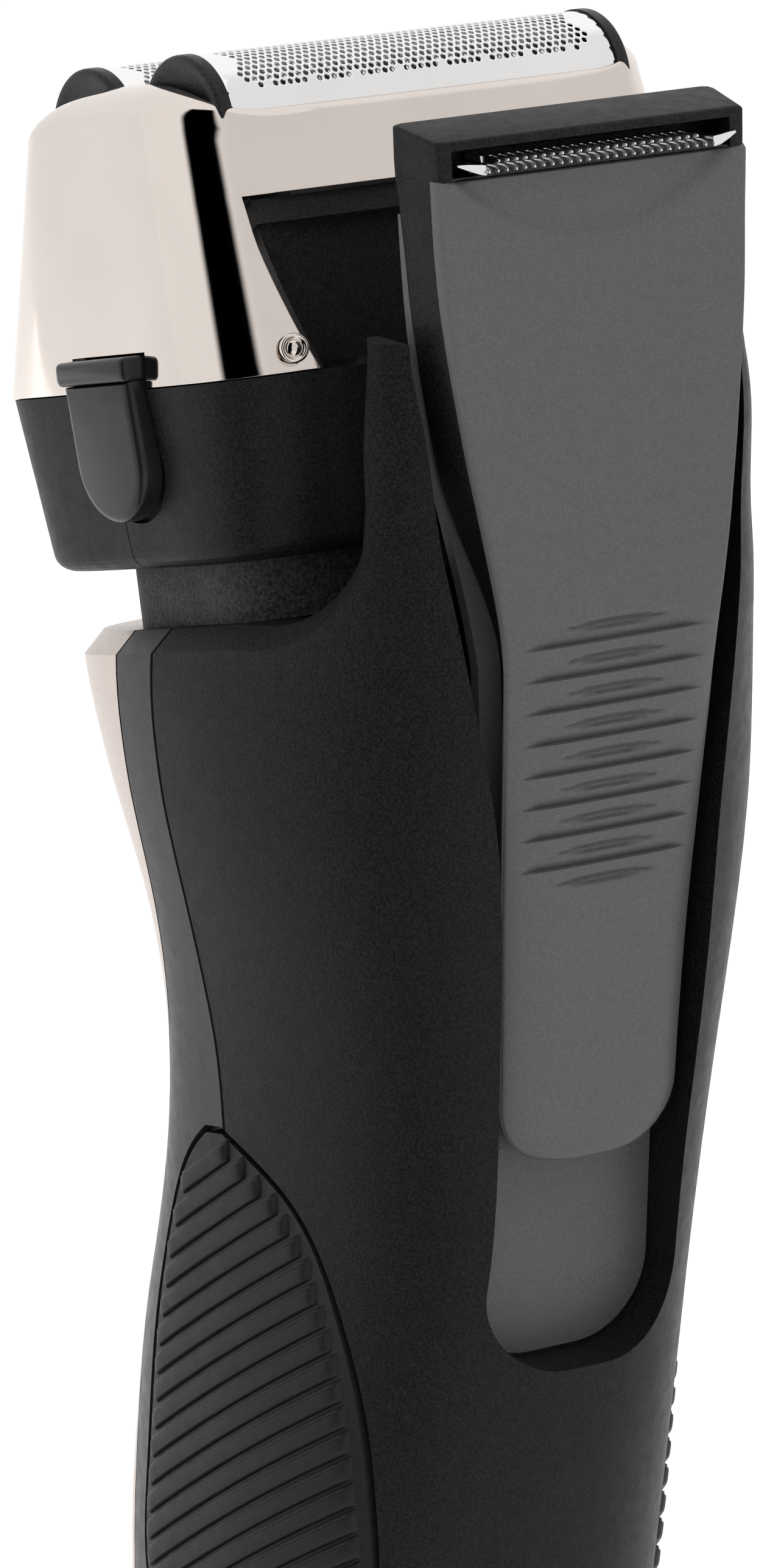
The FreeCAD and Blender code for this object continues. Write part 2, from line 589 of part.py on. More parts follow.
def make_head_base():
    """The two halves of the swivelling base, with the bearing lugs inside the rear one."""
    sections = []
    for i in range(6):
        angle = math.radians(18 * i)
        h = BASE_BOTTOM_H + BASE_EDGE * (1 - math.cos(angle))
        sections.append(head_section(base_size(h), BASE_EDGE * (1 - math.sin(angle)), h))
    outer = stacked(sections + [head_section(base_size(BASE_TOP_H), 0, BASE_TOP_H)])
    floor_h = BASE_BOTTOM_H + BASE_WALL
    inner = stacked([head_section(base_size(h), BASE_WALL, h) for h in (floor_h, 1.0)])
    mouth = stacked([head_section(NECK_HOLE, 0, h) for h in (BASE_BOTTOM_H - 1, floor_h + 0.5)])
    ring = outer.cut(inner).cut(mouth)
    pocket = tongue_outline(0.3, 20, 40).common(flank(-1.2, 5, -20, 4))
    for recess in both_sides(pocket):
        ring = ring.cut(recess)
    front = ring.common(box(-40, 40, -40, BASE_SPLIT_T - 0.06, -30, 10))
    rear = ring.common(box(-40, 40, BASE_SPLIT_T + 0.06, 40, -30, 10))
    half_y, half_h = LUG_HALF
    lugs = [box(x0, x1, PIVOT_T - half_y, PIVOT_T + half_y, PIVOT_H - half_h, PIVOT_H + half_h)
            for x0, x1 in ((-LUG_X[1], -LUG_X[0]), LUG_X)]
    bore = cylinder(PIVOT_R + RUNNING_GAP, v(-PIN_X, PIVOT_T, PIVOT_H), v(PIN_X, PIVOT_T, PIVOT_H))
    save("head_base_rear", to_head(fuse_all([rear] + lugs).cut(bore)))
    save("head_base_front", to_head(front))
    deck = stacked([head_section(base_size(h), BASE_WALL + 0.1, h) for h in DECK_H])
    save("cutter_deck", to_head(deck.cut(box(-7.5, 7.5, -7, 7, -10, 0))))


def make_release_buttons():
    low, high = TONGUE_BOTTOM_H - 1, CAP_H[0]
    face = [(20, low), (TONGUE_FACE_X[0], low), (TONGUE_FACE_X[1], high), (20, high)]
    wire = Part.makePolygon([v(x, -30, h) for x, h in face + face[:1]])
    tongue = tongue_outline(0, 20, 40).common(flank(-0.2, 5, -20, high))
    tongue = tongue.common(Part.Face(wire).extrude(v(0, 60, 0)))
    cap = box(BUTTON_CAP_X[0], BUTTON_CAP_X[1], -CAP_HALF, CAP_HALF, CAP_H[0], CAP_H[1])
    edges = [e for e in cap.Edges if abs(e.CenterOfMass.x - BUTTON_CAP_X[1]) < 0.01]
    button = tongue.fuse(cap.makeFillet(0.5, edges)).removeSplitter()
    left, right = both_sides(button)
    save("release_button_left", to_head(left))
    save("release_button_right", to_head(right))


def cover_loft(inset, h0, h1):
    return Part.makeLoft([head_section(cover_size(h), inset, h) for h in (h0, (h0 + h1) / 2, h1)], True, False)


def crown(inset):
    """Everything under the cover's arched top, with the top drawn in by inset."""
    points = []
    for t, h in CROWN:
        reach = math.hypot(t, h - CROWN_CENTRE_H)
        points.append(v(-60, t - inset * t / reach, h - inset * (h - CROWN_CENTRE_H) / reach))
    curve = Part.BSplineCurve()
    curve.interpolate(points)
    first, last = points[0], points[-1]
    corners = [last, v(-60, 40, last.z), v(-60, 40, -20), v(-60, -40, -20), v(-60, -40, first.z), first]
    edges = [curve.toShape()] + [Part.LineSegment(a, b).toShape() for a, b in zip(corners, corners[1:])]
    return Part.Face(Part.Wire(edges)).extrude(v(120, 0, 0))


def make_cover():
    """The polished foil cover with its arched flanks, its foil window and the back window."""
    top = max(h for t, h in CROWN) + 1
    body = cover_loft(0, 0, top).common(crown(0))
    hollow = cover_loft(COVER_WALL, -1, top).common(crown(COVER_WALL))
    shell = body.cut(hollow)
    shell = shell.cut(box(-FOIL_WINDOW[0], FOIL_WINDOW[0], -FOIL_WINDOW[1], FOIL_WINDOW[1], 10, 40))
    shell = shell.cut(box(-FOIL_WINDOW[0], FOIL_WINDOW[0], -30, 30, FOIL_SILL_H, 40))
    outline = [v(x, 5, h) for x, h in BACK_WINDOW]
    window = Part.Face(Part.makePolygon(outline + outline[:1])).extrude(v(0, 30, 0))
    shell = shell.cut(window)
    for notch in both_sides(box(20, 40, -CAP_NOTCH[0], CAP_NOTCH[0], -1, CAP_NOTCH[1])):
        shell = shell.cut(notch)
    save("head_cover", to_head(shell))
    room = cover_loft(COVER_WALL + 0.05, -1, top)
    ring = room.common(box(-40, 40, -40, 40, FRAME_H[0], FRAME_H[1]))
    ring = ring.cut(box(-20.8, 20.8, -FRAME_OPENING, FRAME_OPENING, 0, 40))
    bar = box(-23.2, 23.2, -1.0, 1.0, FRAME_H[0], BAR_TOP_H)
    save("foil_frame", to_head(ring.fuse(bar).removeSplitter()))
    tube = box(-24, 24, -14.6, 14.6, 0.4, FRAME_H[0]).cut(box(-22.8, 22.8, -13.4, 13.4, 0, 20))
    save("hair_chamber", to_head(tube.common(room)))


def arch_face(radius, foot, x):
    """A D outline: a half circle over two straight legs, in the plane at x."""
    a, b = v(x, -radius, foot), v(x, -radius, FOIL_AXIS_H)
    c, d = v(x, radius, FOIL_AXIS_H), v(x, radius, foot)
    arc = Part.Arc(b, v(x, 0, FOIL_AXIS_H + radius), c).toShape()
    lines = [Part.LineSegment(p, q).toShape() for p, q in ((a, b), (c, d), (d, a))]
    return Part.Face(Part.Wire(Part.__sortEdges__([arc] + lines)))


def make_foil(name, t):
    half = FOIL_LENGTH / 2
    outer = arch_face(FOIL_R, FOIL_FOOT_H, -half).extrude(v(FOIL_LENGTH, 0, 0))
    inner = arch_face(FOIL_R - FOIL_THICK, FOIL_FOOT_H - 1, -half - 1).extrude(v(FOIL_LENGTH + 2, 0, 0))
    foil = outer.cut(inner)
    foil.translate(v(0, t, 0))
    save("foil_" + name, to_head(foil))
    caps = [arch_face(FOIL_R + 0.15, RAIL_H[0], x).extrude(v(END_CAP, 0, 0)) for x in (-half - END_CAP, half)]
    rails = [box(-half, half, y, y + 0.65, RAIL_H[0], RAIL_H[1]) for y in (-FOIL_R - 0.15, FOIL_R - 0.5)]
    holder = fuse_all(caps + rails)
    holder.translate(v(0, t, 0))
    save("foil_holder_" + name, to_head(holder))


def make_cutter(name, t):
    half = CUTTER_LENGTH / 2
    pitch = (CUTTER_LENGTH - BLADE_THICK) / (CUTTER_BLADES - 1)
    blades = []
    for i in range(CUTTER_BLADES):
        x = -half + i * pitch
        disc = cylinder(CUTTER_R, v(x, 0, FOIL_AXIS_H), v(x + BLADE_THICK, 0, FOIL_AXIS_H))
        blades.append(disc.common(box(-40, 40, -10, 10, SPINE_H[1] - 1.6, 40)))
    spine = box(-half, half, -SPINE_HALF, SPINE_HALF, SPINE_H[0], SPINE_H[1])
    cutter = spine.multiFuse(blades).removeSplitter()
    cutter.translate(v(0, t, 0))
    save("inner_cutter_" + name, to_head(cutter))
    half_x, half_t = CARRIER_HALF
    carrier = box(-half_x, half_x, t - half_t, t + half_t, CARRIER_H, SPINE_H[0])
    bore = cylinder(POST_R + 0.3, v(0, t, CARRIER_H - 1), v(0, t, SPINE_H[0] + 1))
    save("cutter_carrier_" + name, to_head(carrier.cut(bore)))


def make_oscillator():
    low, high = (DECK_H[1] + rise for rise in BRIDGE_RISE)
    half_x, half_t = BRIDGE_HALF
    stem = box(-STEM_HALF, STEM_HALF, -STEM_HALF, STEM_HALF, CAM_H[1] + 0.4, low)
    bridge = box(-half_x, half_x, -half_t, half_t, low, high)
    fork = cylinder(CAM_FORK_R, v(0, 0, -20), v(0, 0, low))
    posts = [cylinder(POST_R, v(0, t, high), v(0, t, POST_TOP_H))
             for t in (-FOIL_PITCH / 2, FOIL_PITCH / 2)]
    save("drive_bridge", to_head(fuse_all([stem.cut(fork), bridge])))
    save("drive_posts", to_head(Part.makeCompound(posts)))


def make_springs():
    """The coil spring around each drive post, which holds its cutter up against the foil."""
    low = DECK_H[1] + BRIDGE_RISE[1]
    height = CARRIER_H - low
    helix = Part.makeHelix(height / SPRING_TURNS, height, SPRING_R)
    section = Part.Wire(Part.Circle(v(SPRING_R, 0, 0), v(0, 1, 0), SPRING_WIRE).toShape())
    coil = Part.Wire(helix.Edges).makePipeShell([section], True, True)
    coil = coil.common(box(-5, 5, -5, 5, 0, height))
    for name, t in (("front", -FOIL_PITCH / 2), ("back", FOIL_PITCH / 2)):
        spring = coil.copy()
        spring.translate(v(0, t, low))
        save("cutter_spring_" + name, to_head(spring))


def trimmer_outline(gap):
    """The back face of the sliding trimmer, from its foot to its thicker top."""
    return [(slot_floor_y(z) + gap, z) for z in (50, TRIMMER_STEP_Z[0])]


def make_trimmer():
    tongue = outline_prism(TRIMMER_HALF_WIDTHS, TRIMMER_BOTTOM_Z, TRIMMER_CORNER, 0, 0, 60)
    tongue = tongue.cut(box(-30, 30, 0, 60, TRIMMER_TOP_Z, 200))
    profile = trimmer_outline(TRIMMER_GAP) + [(21.0, TRIMMER_STEP_Z[1]), (19.8, TRIMMER_TOP_Z)] + TRIMMER_FACE
    body = tongue.common(side_prism(profile, 40))
    inner = trimmer_outline(TRIMMER_SKIN)
    top_z = TRIMMER_BACK_TOP[-1][1]
    skin = inner + TRIMMER_BACK_TOP + [(10, top_z), (10, 50)]
    foot = (slot_floor_y(TRIMMER_CAVITY_Z) + TRIMMER_SKIN, TRIMMER_CAVITY_Z)
    cavity = [foot] + TRIMMER_CAVITY_FRONT + TRIMMER_BACK_TOP[::-1] + inner[1:]
    body = body.cut(side_prism(cavity, TRIMMER_CAVITY_HALF))
    half, low, high = BLADE_SLOT
    body = body.cut(box(-half, half, BLADE_BACK_Y, 40, low, high))
    split = side_prism(skin, 40)
    save("trimmer_housing", body.cut(split))
    save("trimmer_back_cover", body.common(split))
    pitch = 2 * COMB_HALF / COMB_TEETH
    gaps = Part.makeCompound([box(x - TOOTH_GAP / 2, x + TOOTH_GAP / 2, BLADE_FRONT_Y - 1.5, 40, 150, 170)
                              for x in [-COMB_HALF + (i + 0.5) * pitch for i in range(COMB_TEETH)]])
    comb = box(-half + 0.1, half - 0.1, BLADE_BACK_Y, BLADE_FRONT_Y, low + 0.3, low + 0.9)
    comb = comb.cut(box(-5.5, 5.5, 10, BLADE_BACK_Y + 2.2, 150, 170)).cut(gaps)
    save("trimmer_comb", comb)
    moving = box(-COMB_HALF + 0.4, COMB_HALF - 0.4, BLADE_BACK_Y + 0.3, BLADE_FRONT_Y - 0.5, low + 0.95, low + 1.5)
    save("trimmer_blade", moving.cut(gaps))
    save("trimmer_arm", box(-ARM_HALF, ARM_HALF, BLADE_BACK_Y + 0.4, BLADE_BACK_Y + 1.6, ARM_BOTTOM_Z, low + 0.95))


def main():
    os.makedirs("parts", exist_ok=True)
    make_casing()
    make_power_button()
    make_internals(make_bottom())
    make_motor()
    make_neck()
    make_head_base()
    make_release_buttons()
    make_cover()
    for name, t in (("front", -FOIL_PITCH / 2), ("back", FOIL_PITCH / 2)):
        make_foil(name, t)
        make_cutter(name, t)
    make_oscillator()
    make_springs()
    make_trimmer()


main()
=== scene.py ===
import json
import math

import bmesh
import bpy
from mathutils import Matrix, Vector
from mathutils.bvhtree import BVHTree


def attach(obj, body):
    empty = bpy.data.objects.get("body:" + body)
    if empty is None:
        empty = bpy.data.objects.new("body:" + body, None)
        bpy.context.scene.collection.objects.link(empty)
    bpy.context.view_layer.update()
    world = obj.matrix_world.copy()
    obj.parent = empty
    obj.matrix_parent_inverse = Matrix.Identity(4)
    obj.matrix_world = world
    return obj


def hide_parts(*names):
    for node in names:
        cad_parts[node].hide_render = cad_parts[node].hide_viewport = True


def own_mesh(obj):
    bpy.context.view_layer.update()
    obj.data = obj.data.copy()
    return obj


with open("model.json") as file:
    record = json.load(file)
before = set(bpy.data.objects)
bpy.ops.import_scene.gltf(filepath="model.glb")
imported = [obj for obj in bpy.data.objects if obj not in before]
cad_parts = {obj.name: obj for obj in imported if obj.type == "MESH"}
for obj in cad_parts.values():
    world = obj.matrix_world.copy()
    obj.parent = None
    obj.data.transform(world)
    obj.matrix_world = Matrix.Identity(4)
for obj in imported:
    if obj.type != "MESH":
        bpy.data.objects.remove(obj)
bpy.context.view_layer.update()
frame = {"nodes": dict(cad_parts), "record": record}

NODES = frame["nodes"]
MM = 0.001
SIDES = ((1, "left"), (-1, "right"))

# ---- camera, in metres ----
CAMERA_PLACE = (0.434526, 0.614005, 0.290642)
CAMERA_LOOK = (-0.554964, -0.792571, -0.252677)
CAMERA_LENS = 191.8

# ---- the tilted head: in its own frame x is across, t is towards the back and h is up its axis ----
HEAD_TILT = math.radians(12.5)
HEAD_PLACE = Vector((0, -7.8 * MM, 133.7 * MM))
TO_HEAD = Matrix.Translation(HEAD_PLACE) @ Matrix.Rotation(HEAD_TILT, 4, "X")
HEAD_TURN = TO_HEAD.to_3x3()
HEAD_UP = HEAD_TURN @ Vector((0, 0, 1))

# All sizes below are in millimetres.

# ---------------------------------------------------------------- materials
# Moulded plastics: colour, roughness, the grain's width and depth, then shine and the grain's painted shade
# and highlight where they're set.
PLASTICS = {
    "shell_black": ((0.0072, 0.0070, 0.0073), 0.44, 0.23, 0.05, 0.14, 0.6),
    "band_grey": ((0.0185, 0.018, 0.0185), 0.38, 0.26, 0.02, 0.3, 0.15),
    "grip_rubber": ((0.0085, 0.0085, 0.0085), 0.46, 0.25, 0.02, 0.2, 0.2),
    "trimmer_grey": ((0.068, 0.067, 0.068), 0.42, 0.26, 0.02, 0.32, 0.12),
    "head_black": ((0.0095, 0.0090, 0.0097), 0.38, 0.23, 0.045, 0.22, 0.55),
    "neck_grey": ((0.018, 0.018, 0.018), 0.55, 0.34, 0.08, 0.2, 0.7),
    "button_black": ((0.008, 0.008, 0.009), 0.26, 0.25, 0.003),
    "drive_nylon": ((0.62, 0.61, 0.57), 0.45, 0.4, 0.005),
    "battery_wrap": ((0.05, 0.16, 0.38), 0.3, 0.5, 0.003),
    "board_green": ((0.02, 0.13, 0.05), 0.35, 0.5, 0.003),
    "component_black": ((0.02, 0.02, 0.02), 0.5, 0.4, 0.005),
    "led_clear": ((0.75, 0.75, 0.7), 0.2, 0.4, 0.002),
    "lens_glass": ((0.10, 0.09, 0.09), 0.12, 0.4, 0.001),
}
# Plated and polished metals: colour, roughness, then how the polishing marks stretch and how strong they are.
METALS = {
    "panel_champagne": ((0.54, 0.47, 0.43), 0.30, (1, 1, 1), 0.1),
    "cover_champagne": ((0.75, 0.68, 0.63), 0.05),
    "foil_nickel": ((0.94, 0.93, 0.92), 0.13, (1, 8, 8), 0.2),
    "blade_chrome": ((0.92, 0.92, 0.93), 0.16),
    "button_metal": ((0.34, 0.31, 0.30), 0.28),
    "steel": ((0.24, 0.24, 0.25), 0.34),
    "post_metal": ((0.55, 0.55, 0.57), 0.2),
    "contact_brass": ((0.75, 0.56, 0.25), 0.2),
}
# Nearly all of a noise texture's values lie in the first range, and a tint changes over the second.
NOISE_RANGE = (0.3, 0.7)
TINT_RANGE = (0.35, 0.65)


class Shader:
    """A Principled material whose colour, roughness and relief come from procedural nodes."""

    def __init__(self, name, color, roughness, metallic=0.0, shine=0.5):
        self.mat = bpy.data.materials.new(name)
        self.mat.use_nodes = True
        self.tree = self.mat.node_tree
        self.bsdf = self.tree.nodes["Principled BSDF"]
        self.bsdf.inputs["Base Color"].default_value = (*color, 1)
        self.bsdf.inputs["Roughness"].default_value = roughness
        self.bsdf.inputs["Metallic"].default_value = metallic
        self.bsdf.inputs["Specular IOR Level"].default_value = shine
        self.coords = self.tree.nodes.new("ShaderNodeTexCoord").outputs["Object"]
        self.normal = None

    def feed(self, socket, value):
        """Links another node's socket to this one, or sets its value."""
        if isinstance(value, bpy.types.NodeSocket):
            self.tree.links.new(value, socket)
        else:
            socket.default_value = value

    def node(self, kind, **inputs):
        made = self.tree.nodes.new(kind)
        for label, value in inputs.items():
            self.feed(made.inputs[label.replace("_", " ")], value)
        return made

    def math(self, operation, *values):
        made = self.tree.nodes.new("ShaderNodeMath")
        made.operation = operation
        for socket, value in zip(made.inputs, values):
            self.feed(socket, value)
        return made.outputs[0]

    def noise(self, size, detail=2.0, stretch=None):
        """Noise whose features are about size metres wide."""
        place = self.coords
        if stretch:
            place = self.node("ShaderNodeMapping", Vector=place, Scale=stretch).outputs["Vector"]
        return self.node("ShaderNodeTexNoise", Vector=place, Scale=1 / size, Detail=detail).outputs["Fac"]

    def tint(self, fac, low, high):
        """Base colour that wanders between two close colours."""
        ramp = self.tree.nodes.new("ShaderNodeValToRGB")
        for element, position, color in zip(ramp.color_ramp.elements, TINT_RANGE, (low, high)):
            element.position = position
            element.color = (*color, 1)
        self.tree.links.new(fac, ramp.inputs["Fac"])
        self.tree.links.new(ramp.outputs["Color"], self.bsdf.inputs["Base Color"])
        return self

    def rough(self, fac, low, high):
        """Roughness that wanders between two values."""
        spread = self.node("ShaderNodeMapRange", Value=fac, From_Min=NOISE_RANGE[0], From_Max=NOISE_RANGE[1],
                           To_Min=low, To_Max=high)
        self.tree.links.new(spread.outputs["Result"], self.bsdf.inputs["Roughness"])
        return self

    def relief(self, height, depth, strength=1.0):
        """Bump of the given depth in metres, stacked on any earlier one."""
        bump = self.node("ShaderNodeBump", Height=height, Strength=strength, Distance=depth)
        if self.normal:
            self.tree.links.new(self.normal, bump.inputs["Normal"])
        self.normal = bump.outputs["Normal"]
        self.tree.links.new(self.normal, self.bsdf.inputs["Normal"])
        return self


def grained_plastic(name, color, roughness, grain, depth, shine=0.32, painted_grain_shade=0.05):
    """Moulded plastic with a spark-eroded grain, whose pits are painted darker as shade and whose tops are
    painted lighter as a highlight.
    """
    shader = Shader(name, color, roughness, shine=shine)
    fine = shader.noise(grain * MM, 3)
    # The bump's own noise darkens the pits as painted shade and lightens the tops as a painted highlight.
    low = [c * (1 - painted_grain_shade) for c in color]
    high = [c * (1 + painted_grain_shade) for c in color]
    shader.tint(fine, low, high).rough(shader.noise(1.5 * MM), roughness - 0.04, roughness + 0.05)
    return shader.relief(fine, depth * MM, 0.9).mat


def smooth_metal(name, color, roughness, stretch=(1, 1, 1), wave=0.02):
    """Plated or polished metal with faint polishing marks."""
    shader = Shader(name, color, roughness, metallic=1.0)
    marks = shader.noise(0.25 * MM, 2, stretch)
    low = [c * 0.96 for c in color]
    shader.tint(shader.noise(14 * MM), low, color).rough(marks, roughness * 0.8, roughness * 1.3)
    return shader.relief(marks, 0.002 * MM, wave).mat


def make_materials():
    made = {name: grained_plastic(name, *values) for name, values in PLASTICS.items()}
    made.update({name: smooth_metal(name, *values) for name, values in METALS.items()})
    return made


def dress_nodes():
    """Every CAD node gets its slot's material."""
    for part in frame["record"]["subparts"]:
        obj = NODES[part["node"]]
        obj.data.materials.clear()
        obj.data.materials.append(materials[part["material_slot"]])


# ---------------------------------------------------------------- mesh helpers
def add_object(name, data):
    obj = bpy.data.objects.new(name, data)
    bpy.context.scene.collection.objects.link(obj)
    return obj


def clean_mesh(name, verts, faces, smooth=True):
    """A mesh whose doubled points are joined and whose faces look outwards."""
    mesh = bpy.data.meshes.new(name)
    mesh.from_pydata([tuple(p) for p in verts], [], faces)
    bm = bmesh.new()
    bm.from_mesh(mesh)
    bmesh.ops.remove_doubles(bm, verts=bm.verts, dist=1e-7)
    bmesh.ops.recalc_face_normals(bm, faces=bm.faces)
    for face in bm.faces:
        face.smooth = smooth
    bm.to_mesh(mesh)
    bm.free()
    return mesh


def piece(name, verts, faces, slot, body, *nodes, crease=38):
    """One visible piece: a mesh with its material, riding on a body and standing for CAD nodes."""
    mesh = clean_mesh(name, verts, faces)
    mesh.set_sharp_from_angle(angle=math.radians(crease))
    mesh.materials.append(materials[slot])
    obj = add_object(name, mesh)
    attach(obj, body)
    if nodes:
        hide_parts(*nodes)
    return obj


def apply_modifier(obj, kind, **settings):
    """Adds a modifier, applies it, and puts the result back on the object."""
    mod = obj.modifiers.new("made", kind)
    for label, value in settings.items():
        setattr(mod, label, value)
    graph = bpy.context.evaluated_depsgraph_get()
    graph.update()
    done = bpy.data.meshes.new_from_object(obj.evaluated_get(graph))
    obj.modifiers.clear()
    obj.data = done


def soften(obj, width, segments=2, angle=30):
    """Rounds every sharp edge a little, so that it catches the light."""
    apply_modifier(obj, "BEVEL", width=width * MM, segments=segments, limit_method="ANGLE",
                   angle_limit=math.radians(angle), harden_normals=True)


def cut_block(obj, low, high, crease):
    """Cuts a block between two corners out of a piece."""
    (x0, y0, z0), (x1, y1, z1) = low, high
    corners = ((x0, z0), (x1, z0), (x1, z1), (x0, z1))
    verts, faces = stack([[at_handle(x, y, z) for x, z in corners] for y in (y0, y1)])
    cutter = add_object("cutter", clean_mesh("cutter", verts, faces, smooth=False))
    apply_modifier(obj, "BOOLEAN", operation="DIFFERENCE", object=cutter, solver="EXACT")
    bpy.data.objects.remove(cutter)
    obj.data.set_sharp_from_angle(angle=math.radians(crease))


class Surface:
    """Collects rows of points and the faces between them."""

    def __init__(self):
        self.verts = []
        self.faces = []

    def row(self, points):
        start = len(self.verts)
        self.verts.extend(points)
        return list(range(start, len(self.verts)))

    def skin(self, rows, closed=True, skip=None):
        """Quads between neighbouring rows; skip(i, j) leaves one out."""
        for i, (low, high) in enumerate(zip(rows, rows[1:])):
            count = len(low) if closed else len(low) - 1
            for j in range(count):
                k = (j + 1) % len(low)
                if not (skip and skip(i, j)):
                    self.faces.append((low[j], low[k], high[k], high[j]))

    def cap(self, row):
        self.faces.append(tuple(row))


def stack(loops):
    """A closed solid through a list of equally long loops."""
    body = Surface()
    rows = [body.row(loop) for loop in loops]
    body.skin(rows)
    body.cap(rows[0])
    body.cap(rows[-1])
    return body.verts, body.faces


def merged(parts):
    verts, faces = [], []
    for part_verts, part_faces in parts:
        start = len(verts)
        verts.extend(part_verts)
        faces.extend(tuple(i + start for i in face) for face in part_faces)
    return verts, faces


def smoothstep(value, low, high):
    f = min(max((value - low) / (high - low), 0), 1)
    return f * f * (3 - 2 * f)


def zigzag(place, pitch):
    """A value that runs between 0 and 1 and back, a pitch each way."""
    return abs((place / pitch) % 2 - 1)


def at_handle(x, y, z):
    """A point given in millimetres in the handle's frame, which is the scene's own."""
    return Vector((x * MM, y * MM, z * MM))


def at_head(x, t, h):
    """A point given in millimetres in the tilted head's frame."""
    return TO_HEAD @ Vector((x * MM, t * MM, h * MM))


def curve_value(points, place):
    """The value at a place along a list of (value, place) points, joined by a smooth curve."""
    places = [p for _, p in points]
    i = max(min(sum(place >= p for p in places) - 1, len(points) - 2), 0)
    before, after = points[max(i - 1, 0)], points[min(i + 2, len(points) - 1)]
    (v1, p1), (v2, p2) = points[i], points[i + 1]
    f = min(max((place - p1) / (p2 - p1), 0), 1)
    slope1 = (v2 - before[0]) / max(p2 - before[1], 1e-9) * (p2 - p1)
    slope2 = (after[0] - v1) / max(after[1] - p1, 1e-9) * (p2 - p1)
    return ((2 * f**3 - 3 * f**2 + 1) * v1 + (f**3 - 2 * f**2 + f) * slope1
            + (3 * f**2 - 2 * f**3) * v2 + (f**3 - f**2) * slope2)


# ---------------------------------------------------------------- plated cover
# Half width, depth of the front and depth of the back, at the cover's foot and at COVER_H.
COVER_BOTTOM = (29.2, 24.0, 20.5)
COVER_TOP = (27.2, 17.0, 15.9)
COVER_H = 24.0
COVER_FRONT_POWER = 6.0
COVER_BACK_POWER = 4.4
COVER_WALL = 1.4
COVER_EDGE = 0.22
WALL_STEPS = 8
# The foil window's edge is level at SILL_H in front and behind, and arches up to CROWN_H over CROWN_X.
WINDOW_HALF = (23.4, 14.6)
WINDOW_POWER = 12.0
SILL_H = 23.6
CROWN_H = 27.2
CROWN_X = (18.0, 23.2)
CROWN_DROP = 3.6
CROWN_REACH = 15
CROWN_POWER = 2.6
# The rim rolls over with this radius, which shrinks by SIDE_ROLL over ROLL_X; its lip then turns down and in.
# The inner wall ends INNER_DROP under the rim.
ROLL_R = 4.2
SIDE_ROLL = 1.8
ROLL_X = (6.0, 23.4)
ROLL_STEPS = 12
LIP_DROP_AND_PULL = ((0.08, 0.12), (0.3, 0.2), (1.2, 0.2))
INNER_DROP = 2.6
# The back window's half width at heights up to its upper edge, and the notches for the release tabs.
BACK_EDGE = [(18.9, -1), (20.6, 4), (22.2, 11), (22.6, 16)]
BACK_TOP_H = 16.0
NOTCH_HALF = 6.1
NOTCH_TOP_H = 3.2
# Columns across: left notch, left flank, back window, right flank, right notch and front.
COLUMNS = (20, 28, 60, 28, 20, 130)
COLUMN_STARTS = [sum(COLUMNS[:i]) for i in range(len(COLUMNS))]
NOTCH_ROWS = 3
WINDOW_ROWS = 14
OPENINGS = [(COLUMN_STARTS[i], COLUMN_STARTS[i + 1], rows)
            for i, rows in ((0, NOTCH_ROWS), (2, WINDOW_ROWS), (4, NOTCH_ROWS))]
# The bosses in the lower back corners: rings (radius, height) around an axis that leans outwards.
BOSS_PLACE = (21.9, 20.0, 2.1)
BOSS_LEAN = 0.35
BOSS_RINGS = [(1.35, -0.9), (1.35, -0.15), (1.2, 0.02), (1.0, 0.0), (0.92, -0.16), (0.8, -0.2),
              (0.66, -0.05), (0.4, 0.08), (0.15, 0.12)]
BOSS_SIDES = 32


def superellipse(angle, half, front, back, front_power, back_power):
    c, s = math.cos(angle), math.sin(angle)
    depth, power = (back, back_power) if s >= 0 else (front, front_power)
    r = (abs(c / half) ** power + abs(s / depth) ** power) ** (-1 / power)
    return r * c, r * s


def cover_size(h):
    """The cover's half width, front depth and back depth at height h."""
    return [foot + (top - foot) * h / COVER_H for foot, top in zip(COVER_BOTTOM, COVER_TOP)]


def cover_point(angle, h, inset=0.0):
    half, front, back = (size - inset for size in cover_size(h))
    return superellipse(angle, half, front, back, COVER_FRONT_POWER, COVER_BACK_POWER)


def cover_angles(h):
    """The directions of all columns at height h; some of them follow the edges of the openings."""
    half, _, depth = cover_size(h)
    x = curve_value(BACK_EDGE, h)
    edge = math.atan2(depth * (1 - (x / half) ** COVER_BACK_POWER) ** (1 / COVER_BACK_POWER), x)
    notch = math.atan2(NOTCH_HALF, half)
    turns = (-notch, notch, edge, math.pi - edge, math.pi - notch, math.pi + notch, math.tau - notch)
    angles = []
    for start, end, count in zip(turns, turns[1:], COLUMNS):
        angles += [start + (end - start) * i / count for i in range(count)]
    return angles


def rim_points(angles):
    """The foil window's edge in each direction: its place (x, t), its height and the rim's roll there."""
    rims = []
    for a in angles:
        x, t = superellipse(a, *WINDOW_HALF, WINDOW_HALF[1], WINDOW_POWER, WINDOW_POWER)
        arch = max(CROWN_H - CROWN_DROP * (abs(t) / CROWN_REACH) ** CROWN_POWER, SILL_H)
        rim_h = SILL_H + (arch - SILL_H) * smoothstep(abs(x), *CROWN_X)
        rims.append((x, t, rim_h, ROLL_R - SIDE_ROLL * smoothstep(abs(x), *ROLL_X)))
    return rims


def upper_wall_point(angle, top_h, step, inset):
    """A point of the wall above the back window, on the way up to top_h."""
    h = BACK_TOP_H + (top_h - BACK_TOP_H) * step / WALL_STEPS
    return at_head(*cover_point(angle, h, inset), h)


